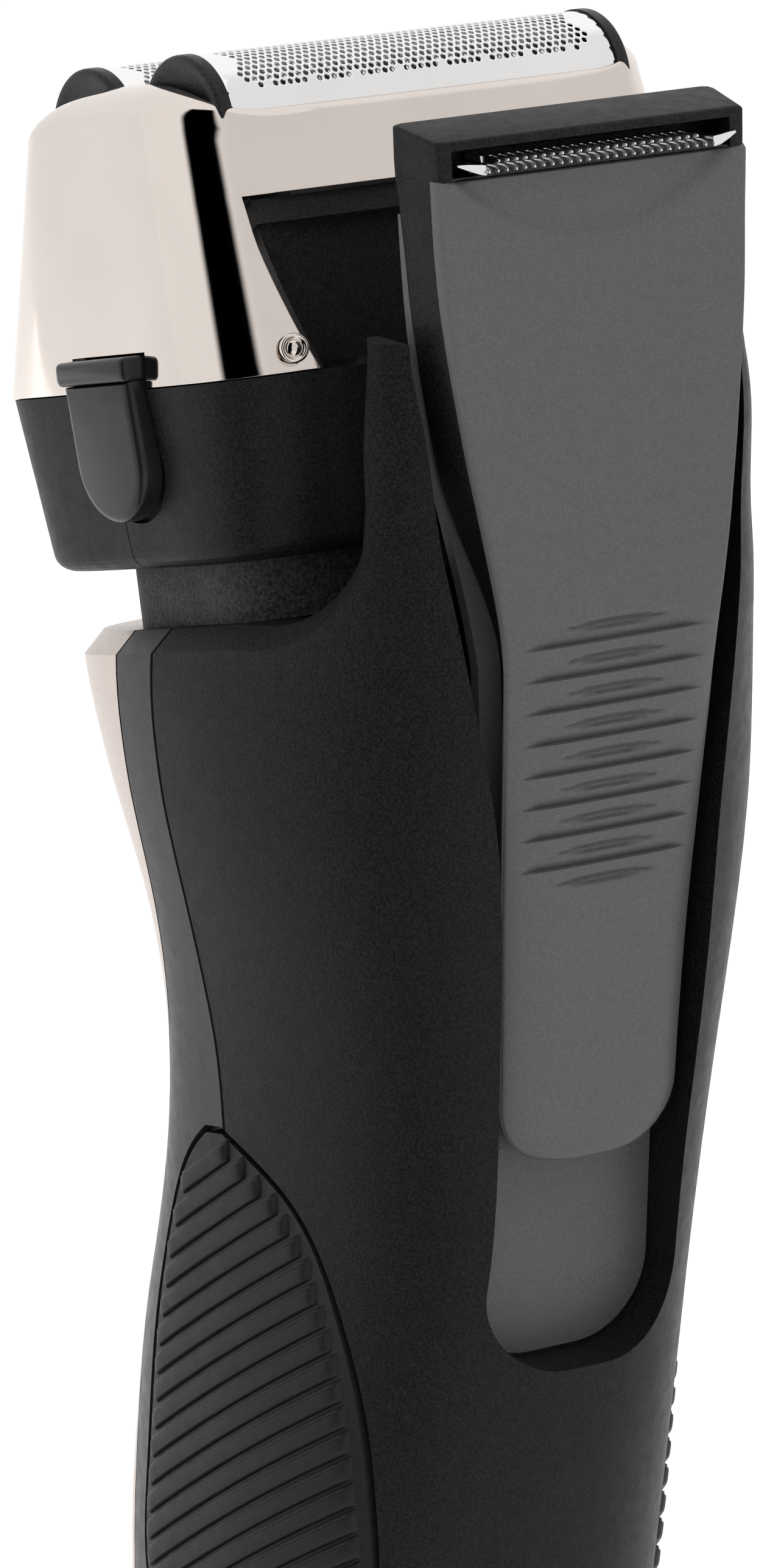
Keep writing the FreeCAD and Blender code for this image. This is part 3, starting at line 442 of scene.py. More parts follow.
def cover_rows():
    """Rows of points up the outside, over the rolled rim, into the foil window and down the inside."""
    outer, inner = [], []
    above = WINDOW_ROWS - NOTCH_ROWS
    heights = [NOTCH_TOP_H * i / NOTCH_ROWS for i in range(NOTCH_ROWS)]
    heights += [NOTCH_TOP_H + (BACK_TOP_H - NOTCH_TOP_H) * i / above for i in range(above + 1)]
    for h in heights:
        angles = cover_angles(h)
        outer.append([at_head(*cover_point(a, h), h) for a in angles])
        inner.append([at_head(*cover_point(a, h, COVER_WALL), h) for a in angles])
    angles = cover_angles(BACK_TOP_H)
    rims = rim_points(angles)
    for i in range(1, WALL_STEPS + 1):
        outer.append([upper_wall_point(a, rim_h - roll, i, 0.0)
                      for a, (_, _, rim_h, roll) in zip(angles, rims)])
        inner.append([upper_wall_point(a, rim_h - INNER_DROP, i, COVER_WALL)
                      for a, (_, _, rim_h, _) in zip(angles, rims)])
    for i in range(1, ROLL_STEPS + 1):
        turn = math.pi / 2 * i / ROLL_STEPS
        reach = math.cos(turn)
        row = []
        for a, (x, t, rim_h, roll) in zip(angles, rims):
            wall_x, wall_t = cover_point(a, rim_h - roll)
            row.append(at_head(x + (wall_x - x) * reach, t + (wall_t - t) * reach,
                               rim_h - roll + roll * math.sin(turn)))
        outer.append(row)
    for drop, pull in LIP_DROP_AND_PULL:
        outer.append([at_head(x - math.copysign(min(pull, abs(x)), x), t, rim_h - drop)
                      for x, t, rim_h, _ in rims])
    return outer + inner[::-1]


def make_cover():
    """The plated cover: both walls, the rolled rim, the foil window, the back window and the side notches."""
    body = Surface()
    rows = [body.row(points) for points in cover_rows()]
    count = len(rows)

    def opened(i, j):
        level = min(i, count - 2 - i)
        return any(first <= j < last and level < up for first, last, up in OPENINGS)

    body.skin(rows, skip=opened)
    columns = len(rows[0])
    for j in range(columns):
        k = (j + 1) % columns
        if not opened(0, j):
            body.faces.append((rows[0][k], rows[0][j], rows[-1][j], rows[-1][k]))
    for first, last, up in OPENINGS:
        for j in (first, last):
            for i in range(up):
                out, back = i + 1, count - 2 - i
                body.faces.append((rows[i][j], rows[out][j], rows[back][j], rows[back + 1][j]))
        top, under = rows[up], rows[count - 1 - up]
        for j in range(first, last):
            body.faces.append((top[j], top[j + 1], under[j + 1], under[j]))
    cover = piece("plated_cover", body.verts, body.faces, "cover_champagne", "cover", "head_cover")
    soften(cover, COVER_EDGE, 3, 45)


def make_bosses():
    """The two round bosses in the cover's lower back corners."""
    for sign, side in SIDES:
        centre = at_head(sign * BOSS_PLACE[0], *BOSS_PLACE[1:])
        out = (HEAD_TURN @ Vector((sign * BOSS_LEAN, 1, 0))).normalized()
        right = out.cross(HEAD_UP).normalized()
        up = right.cross(out)
        turns = [math.tau * k / BOSS_SIDES for k in range(BOSS_SIDES)]
        loops = [[centre + (right * math.cos(a) * radius + up * math.sin(a) * radius + out * height) * MM
                  for a in turns] for radius, height in BOSS_RINGS]
        verts, faces = stack(loops)
        piece("cover_boss_" + side, verts, faces, "cover_champagne", "cover", crease=60)


# ---------------------------------------------------------------- foils and their holders
FOIL_R = 6.3
FOIL_AXIS_H = 22.9
FOIL_FOOT_H = 18.6
FOIL_HALF = 21.5
FOIL_THICK = 0.13
FOIL_PITCH = 15.6
FOILS = (("front", -FOIL_PITCH / 2), ("back", FOIL_PITCH / 2))
HOLE_PITCH = 0.8
HOLE_R = 0.32
# The holed field ends in zigzags: its half size, the zigzag's depth and its pitch, along x and over the arch.
FIELD_X = (19.6, 1.5, 1.8)
FIELD_S = (6.6, 1.2, 2.4)
HOLDER_PROUD = 0.15
HOLDER_FOOT_H = 17.3
HOLDER_END = 0.98
HOLDER_ROUND = 0.42
HOLDER_FACE = [(1.38, 1.0), (1.25, 1.35)]
STRIP_INSET = 0.5
STRIP_TOP_H = 18.5
ARCH_STEPS = 40


def foil_cells():
    """The flat foil as hexagonal cells, each plain or with a hexagonal hole; (x, s) in millimetres."""
    reach = math.pi / 2 * FOIL_R + FOIL_AXIS_H - FOIL_FOOT_H
    row_step = HOLE_PITCH * math.sqrt(3) / 2
    corners = [(math.cos(a), math.sin(a)) for a in (math.pi / 6 + math.tau * k / 6 for k in range(6))]
    radius = HOLE_PITCH / math.sqrt(3)
    bm = bmesh.new()
    rows = int(reach / row_step) + 2
    columns = int(FOIL_HALF / HOLE_PITCH) + 2
    for r in range(-rows, rows + 1):
        s = r * row_step
        for c in range(-columns, columns + 1):
            x = (c + 0.5 * (r % 2)) * HOLE_PITCH
            edge_x = FIELD_X[0] - FIELD_X[1] * zigzag(s, FIELD_X[2])
            edge_s = FIELD_S[0] + FIELD_S[1] * zigzag(x, FIELD_S[2])
            rim = [bm.verts.new((x + radius * u, s + radius * w, 0)) for u, w in corners]
            if abs(s) < edge_s and abs(x) < edge_x:
                hole = [bm.verts.new((x + HOLE_R * u, s + HOLE_R * w, 0)) for u, w in corners]
                for k in range(6):
                    bm.faces.new((rim[k], rim[(k + 1) % 6], hole[(k + 1) % 6], hole[k]))
            else:
                bm.faces.new(rim)
    bmesh.ops.remove_doubles(bm, verts=bm.verts, dist=1e-4)
    for place, outward in (((FOIL_HALF, 0, 0), (1, 0, 0)), ((-FOIL_HALF, 0, 0), (-1, 0, 0)),
                           ((0, reach, 0), (0, 1, 0)), ((0, -reach, 0), (0, -1, 0))):
        bmesh.ops.bisect_plane(bm, geom=bm.verts[:] + bm.edges[:] + bm.faces[:], plane_co=place,
                               plane_no=outward, clear_outer=True, dist=1e-5)
    bm.verts.index_update()
    verts = [(p.co.x, p.co.y) for p in bm.verts]
    faces = [tuple(p.index for p in f.verts) for f in bm.faces]
    bm.free()
    return verts, faces


def foil_point(x, s, t):
    """Where a place on the flat foil ends up: over the arch, and then straight down its leg."""
    quarter = math.pi / 2 * FOIL_R
    if abs(s) <= quarter:
        a = s / FOIL_R
        return at_head(x, t + FOIL_R * math.sin(a), FOIL_AXIS_H + FOIL_R * math.cos(a))
    return at_head(x, t + math.copysign(FOIL_R, s), FOIL_AXIS_H - (abs(s) - quarter))


def make_foils():
    flat, faces = foil_cells()
    for name, t in FOILS:
        sheet = piece("perforated_foil_" + name, [foil_point(x, s, t) for x, s in flat], faces,
                      "foil_nickel", "foil_" + name, "foil_" + name, crease=50)
        apply_modifier(sheet, "SOLIDIFY", thickness=FOIL_THICK * MM, offset=-1, use_rim=True)


def arch_loop(x, t, inset):
    """A D-shaped outline in the plane at x, drawn in by inset."""
    r = FOIL_R + HOLDER_PROUD - inset
    foot = HOLDER_FOOT_H + inset
    loop = [at_head(x, t - r, foot + (FOIL_AXIS_H - foot) * f) for f in (0, 0.5)]
    loop += [at_head(x, t - r * math.cos(a), FOIL_AXIS_H + r * math.sin(a))
             for a in (math.pi * k / ARCH_STEPS for k in range(ARCH_STEPS + 1))]
    loop += [at_head(x, t + r, foot + (FOIL_AXIS_H - foot) * f) for f in (0.5, 0)]
    return loop


def make_foil_holders():
    """Each foil's two rounded end caps and the two strips between them."""
    stations = [(0.0, 0.0)]
    stations += [(HOLDER_END + HOLDER_ROUND * math.sin(a), HOLDER_ROUND * (1 - math.cos(a)))
                 for a in (math.pi / 8 * k for k in range(5))]
    stations += HOLDER_FACE
    for name, t in FOILS:
        parts = [stack([arch_loop(sign * (FOIL_HALF + d), t, inset) for d, inset in stations])
                 for sign in (-1, 1)]
        for sign in (-1, 1):
            low, high = sorted((sign * (FOIL_R + HOLDER_PROUD), sign * (FOIL_R - STRIP_INSET)))
            section = ((low, HOLDER_FOOT_H), (high, HOLDER_FOOT_H), (high, STRIP_TOP_H), (low, STRIP_TOP_H))
            parts.append(stack([[at_head(x, t + across, h) for across, h in section]
                                for x in (-FOIL_HALF, FOIL_HALF)]))
        verts, faces = merged(parts)
        piece("foil_end_caps_" + name, verts, faces, "head_black", "foil_" + name,
              "foil_holder_" + name, crease=30)


# ---------------------------------------------------------------- cutter springs
SPRING_LOW_H = 0.5
SPRING_HIGH_H = 13.5
SPRING_R = 2.9
SPRING_WIRE = 0.3
SPRING_TURNS = 7
STEPS_A_TURN = 20
WIRE_SIDES = 8


def make_springs():
    """The coil springs under the inner cutters."""
    low, height = SPRING_LOW_H + SPRING_WIRE, SPRING_HIGH_H - SPRING_LOW_H - 2 * SPRING_WIRE
    steps = SPRING_TURNS * STEPS_A_TURN
    around = [math.tau * i / WIRE_SIDES for i in range(WIRE_SIDES)]
    for name, t in FOILS:
        loops = []
        for k in range(steps + 1):
            turn = math.tau * SPRING_TURNS * k / steps
            h = low + height * k / steps
            loop = []
            for b in around:
                reach = SPRING_R + SPRING_WIRE * math.cos(b)
                loop.append(at_head(reach * math.cos(turn), t + reach * math.sin(turn),
                                    h + SPRING_WIRE * math.sin(b)))
            loops.append(loop)
        verts, faces = stack(loops)
        spring = piece("coil_spring_" + name, verts, faces, "steel", "oscillator",
                       "cutter_spring_" + name, crease=60)
        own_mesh(spring)


# ---------------------------------------------------------------- release tabs
# The tongue: its outline, how its face leans outwards, and its layers (depth under the face, inset).
TAB_HALF = 5.4
TAB_TOP_H = 0.75
TAB_TOP_SLOPE = 0.4
TAB_LOW_H = -12.0
TAB_STEPS = 20
TAB_FACE_X = 30.2
TAB_LEAN = 0.8 / 16.0
TAB_LEAN_H = -12.9
TAB_LAYERS = ((2.4, 0.0), (0.9, 0.0), (0.58, 0.05), (0.28, 0.22), (0.08, 0.52), (0.0, 0.9))
# The cap above it, which fills the cover's notch: its layers (x, inset).
CAP_HALF = 5.75
CAP_H = (0.8, 3.0)
CAP_CORNER = 0.4
CAP_LAYERS = ((28.6, 0.1), (28.7, 0.0), (30.7, 0.0), (31.0, 0.08), (31.2, 0.25), (31.3, 0.55))


def tab_outline(inset):
    """The tongue from the side, as (t, h) points: straight sides and a round lower end."""
    half, top, low = TAB_HALF - inset, TAB_TOP_H - TAB_TOP_SLOPE * inset, TAB_LOW_H + TAB_HALF
    outline = [(half, top), (half, (top + low) / 2)]
    outline += [(half * math.cos(a), low - half * math.sin(a))
                for a in (math.pi * k / TAB_STEPS for k in range(TAB_STEPS + 1))]
    return outline + [(-half, (top + low) / 2), (-half, top)]


def cap_outline(inset):
    """The cap from the side, as (t, h) points: a rectangle with round corners."""
    across = CAP_HALF - inset - CAP_CORNER
    low, high = CAP_H[0] + inset + CAP_CORNER, CAP_H[1] - inset - CAP_CORNER
    outline = []
    for t, h, start in ((across, high, 0), (-across, high, 90), (-across, low, 180), (across, low, 270)):
        for a in (math.radians(start + 22.5 * k) for k in range(5)):
            outline.append((t + CAP_CORNER * math.cos(a), h + CAP_CORNER * math.sin(a)))
    return outline


def make_release_tabs():
    for sign, side in SIDES:
        tongue = [[at_head(sign * (TAB_FACE_X + TAB_LEAN * (h - TAB_LEAN_H) - depth), t, h)
                   for t, h in tab_outline(inset)] for depth, inset in TAB_LAYERS]
        cap = [[at_head(sign * x, t, h) for t, h in cap_outline(inset)] for x, inset in CAP_LAYERS]
        verts, faces = merged([stack(tongue), stack(cap)])
        piece("release_tab_" + side, verts, faces, "button_black", "release_" + side,
              "release_button_" + side, crease=40)


# ---------------------------------------------------------------- ribbed grips
RIB_PITCH = 2.62
RIB_RISE = 0.66
RIB_FIRST_Z = -1.0
RIB_NUMBERS = range(-6, 30)
RIB_PROFILE = [(-1.28, -0.5), (-1.2, 0.1), (-1.1, 0.42), (-0.95, 0.58), (-0.6, 0.66), (0.2, 0.7),
               (0.5, 0.66), (0.6, 0.5), (0.92, 0.4), (1.02, 0.1), (1.06, -0.5)]
# A rib keeps these distances from the leaf's two edges, and rises over END_STEPS at each end.
RIB_MARGINS = (0.9, 0.75)
END_STEPS = [0.0, 0.12, 0.35, 0.7]
RIB_STEP = 0.8
# The leaf is probed from PROBE_X at places SCAN_STEP apart; its outer face lies beyond LEAF_X and its
# normal's x is at least LEAF_FACING.
PROBE_X = 60.0
SCAN_STEP = 0.25
SCAN_NUMBERS = range(-72, 84)
SHORTEST_SCAN = 14
LEAF_X = 12.0
LEAF_FACING = 0.25


def leaf_surface(leaf, sign):
    """A function that finds the leaf's outer surface at (y, z) in the side view, or None beyond its edge."""
    tree = BVHTree.FromPolygons([p.co for p in leaf.data.vertices],
                                [tuple(f.vertices) for f in leaf.data.polygons])

    def surface(y, z):
        hit, normal, _, _ = tree.ray_cast(at_handle(sign * PROBE_X, y, z), Vector((-sign, 0, 0)))
        if hit is None or abs(normal.x) < LEAF_FACING or abs(hit.x) < LEAF_X * MM:
            return None
        return hit

    return surface


def rib_loops(surface, sign, base, start, length):
    """Sections along one rib, which climbs from base by RIB_RISE for each millimetre of y."""
    end = END_STEPS[-1]
    steps = max(int(length / RIB_STEP), 6)
    spots = END_STEPS + [end + (length - 2 * end) * i / steps for i in range(1, steps)]
    spots += [length - e for e in reversed(END_STEPS)]
    middle = start + length / 2
    loops = []
    for spot in spots:
        y = start + spot
        edge = min(spot, length - spot)
        rise = math.sqrt(max(1 - (1 - min(edge / end, 1)) ** 2, 0))
        loop = []
        for across, height in RIB_PROFILE:
            z = base + RIB_RISE * y + across
            hit = (surface(y, z) or surface(y, base + RIB_RISE * y)
                   or surface(middle, base + RIB_RISE * middle))
            lift = height if height < 0 else height * rise
            loop.append(Vector((hit.x + sign * lift * MM, y * MM, z * MM)))
        loops.append(loop)
    return loops


def make_grip_ribs():
    """Diagonal flat-topped ribs on each side, laid over the rubber leaf and ending just inside its edge."""
    for sign, side in SIDES:
        surface = leaf_surface(NODES["grip_insert_" + side], sign)
        parts = []
        for k in RIB_NUMBERS:
            base = RIB_FIRST_Z + k * RIB_PITCH
            scan = [i * SCAN_STEP for i in SCAN_NUMBERS]
            inside = [y for y in scan if surface(y, base + RIB_RISE * y)]
            if len(inside) >= SHORTEST_SCAN:
                start, end = inside[0] + RIB_MARGINS[0], inside[-1] - RIB_MARGINS[1]
                parts.append(stack(rib_loops(surface, sign, base, start, end - start)))
        verts, faces = merged(parts)
        piece("grip_ribs_" + side, verts, faces, "grip_rubber", "handle", crease=35)


# ---------------------------------------------------------------- trimmer
# Half width, face and back of the trimmer, as (value, z).
TRIMMER_HALF = [(9.9, 70), (10.05, 76), (10.4, 85), (10.9, 95), (11.4, 105), (12.05, 115),
                (13.6, 125), (14.8, 132), (16.3, 143), (16.8, 150), (17.2, 161)]
TRIMMER_FACE = [(26.9, 60), (27.4, 70), (28.3, 86), (29.3, 98), (30.2, 108), (30.4, 113), (30.2, 118),
                (29.2, 127), (27.7, 140), (26.7, 150), (26.4, 156), (26.1, 161)]
TRIMMER_BACK = [(23.3, 60), (24.35, 96), (25.1, 112), (24.4, 118), (22.4, 130), (21.2, 148),
                (20.6, 153), (19.9, 157), (19.8, 161)]
TRIMMER_LOW_Z = 65.0
TRIMMER_ROUND = 6.0
ROUND_STEPS = 10
LEVEL_STEP = 1.6
PLATE_TOP_Z = 156.7

# The frame: how far it stands behind the face and inside the plate's sides, and how it widens upwards.
FRAME_BEHIND = 1.0
FRAME_TOP_BEHIND = 0.22
FRAME_SHY = 0.22
FRAME_CORNER = 0.5
FRAME_FLARE = 0.45
FLARE_Z = (118, 150)
SIDE_GAP = 2.2
SIDE_GAP_Z = (112, 130)
FRAME_STEP_Z = 158.0
FRAME_TOP_Z = 160.8
FRAME_ROUND = 0.3
FRAME_WIDEST_Z = 160.9
STEP_TILT = 0.02
TOP_TILT = 0.17
BLADE_SLOT = ((-15.3, 22.0, 156.6), (15.3, 32.0, 159.3))

# The face plate: its rim, its fall towards the sides, the thumb ridges and the crescent under the blade.
PLATE_RIM = 0.35
PLATE_THICK = 1.2
PLATE_COLUMNS = 72
COLUMN_POWER = 1.35
NARROWEST = 1.5
SIDE_FALL = 1.1
SIDE_FALL_POWER = 5
SIDE_FALL_Z = (106, 126)
RIDGE_TOP_Z = 114.2
RIDGE_PITCH = 3.0
RIDGES = 8
RIDGE_LOW_Z = RIDGE_TOP_Z - RIDGE_PITCH * (RIDGES - 1)
RIDGE_DEPTH = 0.6
RIDGE_FADE_X = 7.0
RIDGE_STEPS = 12
DENT_X = 6.2
DENT_HALF = 0.56
DENT_DEPTH = 0.6
CRESCENT_Z = 150.0
CRESCENT_SAG = 6.4
CRESCENT_X = 15.5
CRESCENT_DEPTH = 0.8
CRESCENT_LOW_Z = 147.6
CRESCENT_STEPS = 26
PLAIN_TOP_Z = 148

# The channel that the trimmer slides in: its floor (y at z), its outline, and the two faces of the grey sheet
# above it, which is painted light falling on the floor from above.
SLIDE_TILT = math.radians(2.5)
CHANNEL_FLOOR = (21.5, 61)
CHANNEL_HALF = 10.5
CHANNEL_LOW_Z = 44.9
CHANNEL_TOP_Z = 74.0
CHANNEL_CORNER = 7.8
CORNER_STEPS = 12
PAINTED_LIGHT_SHEET = (-0.1, 0.12)

# The comb and the moving blade. A section is given at each x, as (y, z) points.
TEETH = 26
TEETH_HALF = 12.4
TEETH_PITCH = 2 * TEETH_HALF / (TEETH - 1)
COMB_BAR_Y = (22.1, 25.2)
COMB_BAR_Z = (157.0, 157.6)
COMB_BAR_ENDS = ((-12.8, 0), (-12.65, 0.1), (12.65, 0.1), (12.8, 0))
COMB_TOOTH = {"width": 0.52, "y": (24.9, 27.7), "z": (156.95, 157.65), "tip": 1.0}
LUG_STATIONS = ((12.5, 157.0, 158.0, 24.6, 27.4), (13.2, 157.15, 158.1, 25.0, 27.5),
                (14.3, 157.55, 158.2, 25.8, 27.3), (15.3, 157.95, 158.2, 26.6, 27.0))
BLADE_BAR_HALF = 11.4
BLADE_BAR = ((22.5, 157.75), (25.0, 157.75), (24.8, 158.35), (22.5, 158.35))
BLADE_TOOTH = {"width": 0.62, "y": (24.7, 27.1), "z": (157.75, 158.4), "tip": 0.8}
BLADE_EDGE = 0.05


def trimmer_half(z):
    """Half the trimmer's width; its lower end is round."""
    if z >= TRIMMER_LOW_Z + TRIMMER_ROUND:
        return curve_value(TRIMMER_HALF, z)
    drop = TRIMMER_LOW_Z + TRIMMER_ROUND - z
    side = curve_value(TRIMMER_HALF, TRIMMER_LOW_Z + TRIMMER_ROUND)
    return side - TRIMMER_ROUND + math.sqrt(max(TRIMMER_ROUND**2 - drop**2, 0))


def trimmer_levels(top):
    """Heights up the trimmer, close together in its round lower end."""
    low = [TRIMMER_LOW_Z + TRIMMER_ROUND * (1 - math.cos(math.pi / 2 * k / ROUND_STEPS))
           for k in range(ROUND_STEPS)]
    first = TRIMMER_LOW_Z + TRIMMER_ROUND
    count = int((top - TRIMMER_LOW_Z - TRIMMER_ROUND) / LEVEL_STEP)
    return low + [first + (top - first) * k / count for k in range(count + 1)]


def frame_loop(z, inset, tilt):
    """A level outline of the trimmer's frame, drawn in by inset; tilt lowers its front."""
    half = trimmer_half(min(z, FRAME_WIDEST_Z)) - inset - SIDE_GAP * (1 - smoothstep(z, *SIDE_GAP_Z))
    front = curve_value(TRIMMER_FACE, z) - inset
    front -= FRAME_BEHIND if z < PLATE_TOP_Z - 0.1 else FRAME_TOP_BEHIND
    back = curve_value(TRIMMER_BACK, z) + inset
    flare = FRAME_FLARE * smoothstep(z, *FLARE_Z)
    side = half - FRAME_SHY
    outline = [(side - FRAME_CORNER, front), (side - 0.12 * FRAME_CORNER, front - 0.3 * FRAME_CORNER),
               (side, front - FRAME_CORNER), (half + flare * 0.9, back + 0.8),
               (half + flare - 0.25, back + 0.2), (half + flare - 0.9, back)]
    points = outline + [(-x, y) for x, y in reversed(outline)]
    return [at_handle(x, y, z - tilt * (y - back)) for x, y in points]


def make_trimmer_frame():
    """The trimmer's frame around the blade slot, which carries the face plate."""
    loops = [frame_loop(z, 0, 0) for z in trimmer_levels(PLATE_TOP_Z - 0.15)]
    loops += [frame_loop(z, 0, STEP_TILT) for z in (PLATE_TOP_Z, FRAME_STEP_Z)]
    for a in (math.pi / 2 * k / 5 for k in range(6)):
        loops.append(frame_loop(FRAME_TOP_Z + FRAME_ROUND * math.sin(a),
                                FRAME_ROUND * (1 - math.cos(a)), TOP_TILT))
    verts, faces = stack(loops)
    trimmer = piece("trimmer_frame", verts, faces, "shell_black", "trimmer", "trimmer_housing", crease=30)
    cut_block(trimmer, *BLADE_SLOT, crease=30)


def make_channel_floor():
    """A matt grey sheet on the floor of the channel that the trimmer slides in, as painted light falling on
    the floor from above.
    """
    outline = []
    for a in (math.pi / 2 * k / CORNER_STEPS for k in range(CORNER_STEPS + 1)):
        outline.append((CHANNEL_HALF - CHANNEL_CORNER * (1 - math.sin(a)),
                        CHANNEL_LOW_Z + CHANNEL_CORNER * (1 - math.cos(a))))
    outline.append((CHANNEL_HALF, CHANNEL_TOP_Z))
    outline += [(-x, z) for x, z in reversed(outline)]
    floor_y, floor_z = CHANNEL_FLOOR
    loops = [[at_handle(x, floor_y + (z - floor_z) * math.tan(SLIDE_TILT) + rise, z) for x, z in outline]
             for rise in PAINTED_LIGHT_SHEET]
    verts, faces = stack(loops)
    # The sheet's grey is painted light on the channel floor.
    piece("channel_floor", verts, faces, "trimmer_grey", "handle", crease=30)


def ridge_relief(x, z):
    """The steps of the thumb ridges, which fade out sideways, and the lens-shaped dents between them."""
    if not RIDGE_LOW_Z - 2.4 < z < RIDGE_TOP_Z + 2.8:
        return 0.0
    step = 0.0
    if z > RIDGE_LOW_Z - 0.05:
        fade = 1 - smoothstep(abs(x), RIDGE_FADE_X, trimmer_half(z) - 0.9)
        phase = ((z - RIDGE_LOW_Z) / RIDGE_PITCH) % 1.0
        step = -RIDGE_DEPTH * fade * (1 - phase) ** 3
    middle = RIDGE_LOW_Z + RIDGE_PITCH * (math.floor((z - RIDGE_LOW_Z) / RIDGE_PITCH) + 0.5)
    lens = 1 - (x / DENT_X) ** 2
    dent = abs(z - middle) / DENT_HALF
    if dent < lens:
        step -= DENT_DEPTH * lens * (1 - (dent / lens) ** 2)
    return step


def thumb_relief(x, z):
    """The shallow crescent under the blade slot."""
    arc = CRESCENT_Z + CRESCENT_SAG * (x / CRESCENT_X) ** 2
    sunk = smoothstep(z, arc - 0.2, arc + 1.5) * (1 - smoothstep(z, PLATE_TOP_Z - 1.5, PLATE_TOP_Z + 3))
    return -CRESCENT_DEPTH * sunk


def plate_levels():
    """Heights up the face plate, close together at the ridges and the crescent."""
    plain = [z for z in trimmer_levels(PLATE_TOP_Z)
             if not RIDGE_LOW_Z - 2.6 < z < RIDGE_TOP_Z + 3.0 and z < PLAIN_TOP_Z]
    fine = [CRESCENT_LOW_Z + (PLATE_TOP_Z - CRESCENT_LOW_Z) * k / CRESCENT_STEPS
            for k in range(CRESCENT_STEPS + 1)]
    ridged = []
    for k in range(-1, RIDGES + 1):
        start = RIDGE_LOW_Z + RIDGE_PITCH * k
        ridged += [start - 0.04, start + 0.04]
        ridged += [start + RIDGE_PITCH * f / RIDGE_STEPS for f in range(1, RIDGE_STEPS)]
    return sorted(plain + fine + ridged)


def rolled(edge):
    """How far the plate's face falls at a distance from its edge."""
    return PLATE_RIM - math.sqrt(max(PLATE_RIM**2 - max(PLATE_RIM - edge, 0) ** 2, 0))


def make_trimmer_plate():
    """The trimmer's face plate, with a thumb crescent, eight ridges and the dents between them."""
    levels = plate_levels()
    body = Surface()
    top, under = [], []
    for z in levels:
        half = max(trimmer_half(z), NARROWEST)
        face = curve_value(TRIMMER_FACE, z)
        shy = rolled(min(z - TRIMMER_LOW_Z, PLATE_TOP_Z - z))
        row, back = [], []
        for j in range(PLATE_COLUMNS + 1):
            u = -1 + 2 * j / PLATE_COLUMNS
            x = half * math.copysign(1 - (1 - abs(u)) ** COLUMN_POWER, u)
            fall = SIDE_FALL * (abs(x) / half) ** SIDE_FALL_POWER * (1 - smoothstep(z, *SIDE_FALL_Z))
            y = face - rolled(half - abs(x)) - shy - fall + ridge_relief(x, z) + thumb_relief(x, z)
            row.append(at_handle(x, y, z))
            back.append(at_handle(x, face - PLATE_THICK, z))
        top.append(body.row(row))
        under.append(body.row(back))
    body.skin(top, closed=False)
    body.skin([row[::-1] for row in under], closed=False)
    for i in range(len(levels) - 1):
        for j in (0, PLATE_COLUMNS):
            body.faces.append((top[i][j], top[i + 1][j], under[i + 1][j], under[i][j]))
    for i in (0, len(levels) - 1):
        for j in range(PLATE_COLUMNS):
            body.faces.append((top[i][j], top[i][j + 1], under[i][j + 1], under[i][j]))
    piece("trimmer_plate", body.verts, body.faces, "trimmer_grey", "trimmer", crease=30)


def bar(sections):
    """A solid through sections (x, points), where the points are (y, z)."""
    return stack([[at_handle(x, y, z) for y, z in points] for x, points in sections])


def tooth(x, width, y, z, tip):
    """One pointed tooth: it narrows and thins towards its end."""
    (y0, y1), (z0, z1) = y, z
    loops = []
    for place, half, low, high in ((y0, width / 2, z0, z1), (y1 - tip, width / 2, z0, z1),
                                   (y1, width * 0.16, z1 - 0.3, z1 - 0.1)):
        corners = ((x - half, low), (x + half, low), (x + half * 0.7, high), (x - half * 0.7, high))
        loops.append([at_handle(px, place, pz) for px, pz in corners])
    return stack(loops)


def make_comb():
    """The bright comb with its two pointed end lugs."""
    (y0, y1), (z0, z1) = COMB_BAR_Y, COMB_BAR_Z
    parts = [bar([(x, ((y0, z0 - grow), (y1 + grow, z0), (y1 + grow, z1), (y0, z1 + grow / 2)))
                  for x, grow in COMB_BAR_ENDS])]
    parts += [tooth(-TEETH_HALF + TEETH_PITCH * k, **COMB_TOOTH) for k in range(TEETH)]
    for sign in (-1, 1):
        parts.append(bar([(sign * x, ((root, low), (end, low + 0.1), (end - 0.15, high), (root, high - 0.2)))
                          for x, low, high, root, end in LUG_STATIONS]))
    verts, faces = merged(parts)
    comb = piece("cutting_comb", verts, faces, "blade_chrome", "trimmer", "trimmer_comb", crease=25)
    soften(comb, BLADE_EDGE)


def make_moving_blade():
    """The moving blade on top of the comb; its teeth stand over the comb's gaps."""
    parts = [bar([(x, BLADE_BAR) for x in (-BLADE_BAR_HALF, BLADE_BAR_HALF)])]
    parts += [tooth(-TEETH_HALF + TEETH_PITCH * (k + 0.5), **BLADE_TOOTH) for k in range(1, TEETH - 2)]
    verts, faces = merged(parts)
    blade = piece("moving_blade", verts, faces, "blade_chrome", "trimmer_cutter", "trimmer_blade", crease=25)
    soften(blade, BLADE_EDGE)


# ---------------------------------------------------------------- stage, in metres
FLOOR_REACH = 6.0
LIGHT_AIM = Vector((0, 0, 0.09))
LIGHT_DISTANCE = 0.9
FLAG_FLOOR_Z = 0.002
FLAG_STEPS = 8


def make_camera():
    cam = bpy.data.cameras.new("camera")
    cam.sensor_fit = "VERTICAL"
    cam.sensor_height = 36
    cam.lens = CAMERA_LENS
    cam.clip_start = 0.01
    obj = add_object("camera", cam)
    obj.location = CAMERA_PLACE
    obj.rotation_euler = Vector(CAMERA_LOOK).to_track_quat("-Z", "Y").to_euler()
    bpy.context.scene.camera = obj


def area_light(name, azimuth, elevation, size, power):
    """A soft box that reflections don't show; azimuth is counted from +Y towards +X."""
    light = bpy.data.lights.new(name, "AREA")
    light.shape = "RECTANGLE"
    light.size, light.size_y = size
    light.energy = power
    obj = add_object(name, light)
    a, e = math.radians(azimuth), math.radians(elevation)
    towards = Vector((math.sin(a) * math.cos(e), math.cos(a) * math.cos(e), math.sin(e)))
    obj.location = LIGHT_AIM + towards * LIGHT_DISTANCE
    obj.rotation_euler = (-towards).to_track_quat("-Z", "Y").to_euler()
    obj.visible_glossy = False


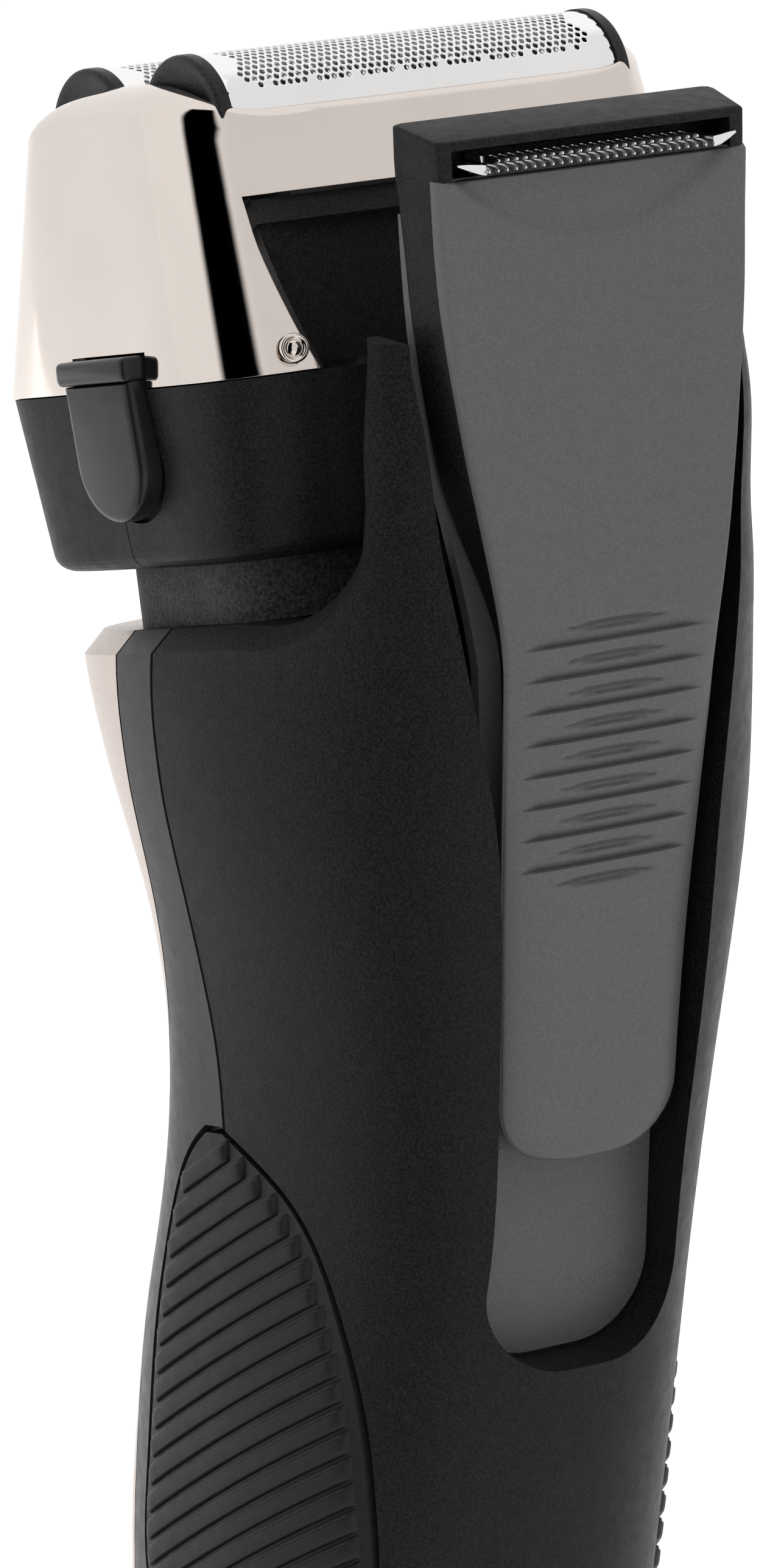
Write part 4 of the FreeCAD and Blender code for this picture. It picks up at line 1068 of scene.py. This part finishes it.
def flag(name, azimuth, clear, soft, near, far, top, weight=1.0):
    """A black flag that only reflections show: it lies on the floor from near to far and then rises to top.

    It has its full weight up to clear degrees each side of its azimuth, and fades out over soft more."""
    a = math.radians(azimuth)
    half = math.radians(clear + soft)
    turns = [a + half * k / FLAG_STEPS for k in range(-FLAG_STEPS, FLAG_STEPS + 1)]
    body = Surface()
    rows = [body.row([(radius * math.sin(turn), radius * math.cos(turn), height) for turn in turns])
            for radius, height in ((near, FLAG_FLOOR_Z), (far, FLAG_FLOOR_Z), (far, top))]
    body.skin(rows, closed=False)
    mesh = bpy.data.meshes.new(name)
    mesh.from_pydata(body.verts, [], body.faces)
    shader = Shader(name, (0, 0, 0), 1.0, shine=0.0)
    turned = shader.node("ShaderNodeMapping", Vector=shader.coords, Rotation=(0, 0, a - math.pi / 2))
    radial = shader.node("ShaderNodeTexGradient", Vector=turned.outputs["Vector"])
    radial.gradient_type = "RADIAL"
    away = shader.math("ABSOLUTE", shader.math("SUBTRACT", radial.outputs["Fac"], 0.5))
    fade = shader.node("ShaderNodeMapRange", Value=away, From_Min=clear / 360,
                       From_Max=(clear + soft) / 360, To_Min=weight, To_Max=0.0)
    fade.interpolation_type = "SMOOTHSTEP"
    shader.tree.links.new(fade.outputs["Result"], shader.bsdf.inputs["Alpha"])
    mesh.materials.append(shader.mat)
    obj = add_object(name, mesh)
    obj.visible_camera = False
    obj.visible_diffuse = False
    obj.visible_shadow = False


def make_stage():
    """A seamless pale floor, a white world, three soft boxes, and two flags that the plated cover mirrors."""
    corners = [(FLOOR_REACH * x, FLOOR_REACH * y, 0) for x, y in ((-1, -1), (1, -1), (1, 1), (-1, 1))]
    mesh = bpy.data.meshes.new("floor")
    mesh.from_pydata(corners, [], [(0, 1, 2, 3)])
    floor = add_object("floor", mesh)
    shader = Shader("floor_pale", (0.9, 0.9, 0.9), 0.9, shine=0.0)
    shader.tint(shader.noise(0.4), (0.96, 0.96, 0.96), (0.97, 0.97, 0.97))
    mesh.materials.append(shader.mat)

    world = bpy.data.worlds.new("studio")
    world.use_nodes = True
    world.node_tree.nodes["Background"].inputs["Color"].default_value = (1, 1, 1, 1)
    world.node_tree.nodes["Background"].inputs["Strength"].default_value = 1.0
    bpy.context.scene.world = world
    bpy.context.scene.view_settings.view_transform = "Standard"

    area_light("soft_left", azimuth=135, elevation=25, size=(0.8, 1.1), power=2.4)
    area_light("soft_right", azimuth=-40, elevation=15, size=(0.7, 1.0), power=1.8)
    area_light("soft_top", azimuth=30, elevation=70, size=(0.7, 0.7), power=2.8)
    flag("dark_sweep", azimuth=57, clear=18, soft=9, near=0.06, far=0.45, top=0.9)
    flag("grey_sweep", azimuth=-30, clear=50, soft=30, near=0.07, far=0.5, top=1.0, weight=0.2)


make_camera()
make_stage()
materials = make_materials()
dress_nodes()
make_cover()
make_bosses()
make_foils()
make_foil_holders()
make_springs()
make_release_tabs()
make_grip_ribs()
make_trimmer_frame()
make_channel_floor()
make_trimmer_plate()
make_comb()
make_moving_blade()
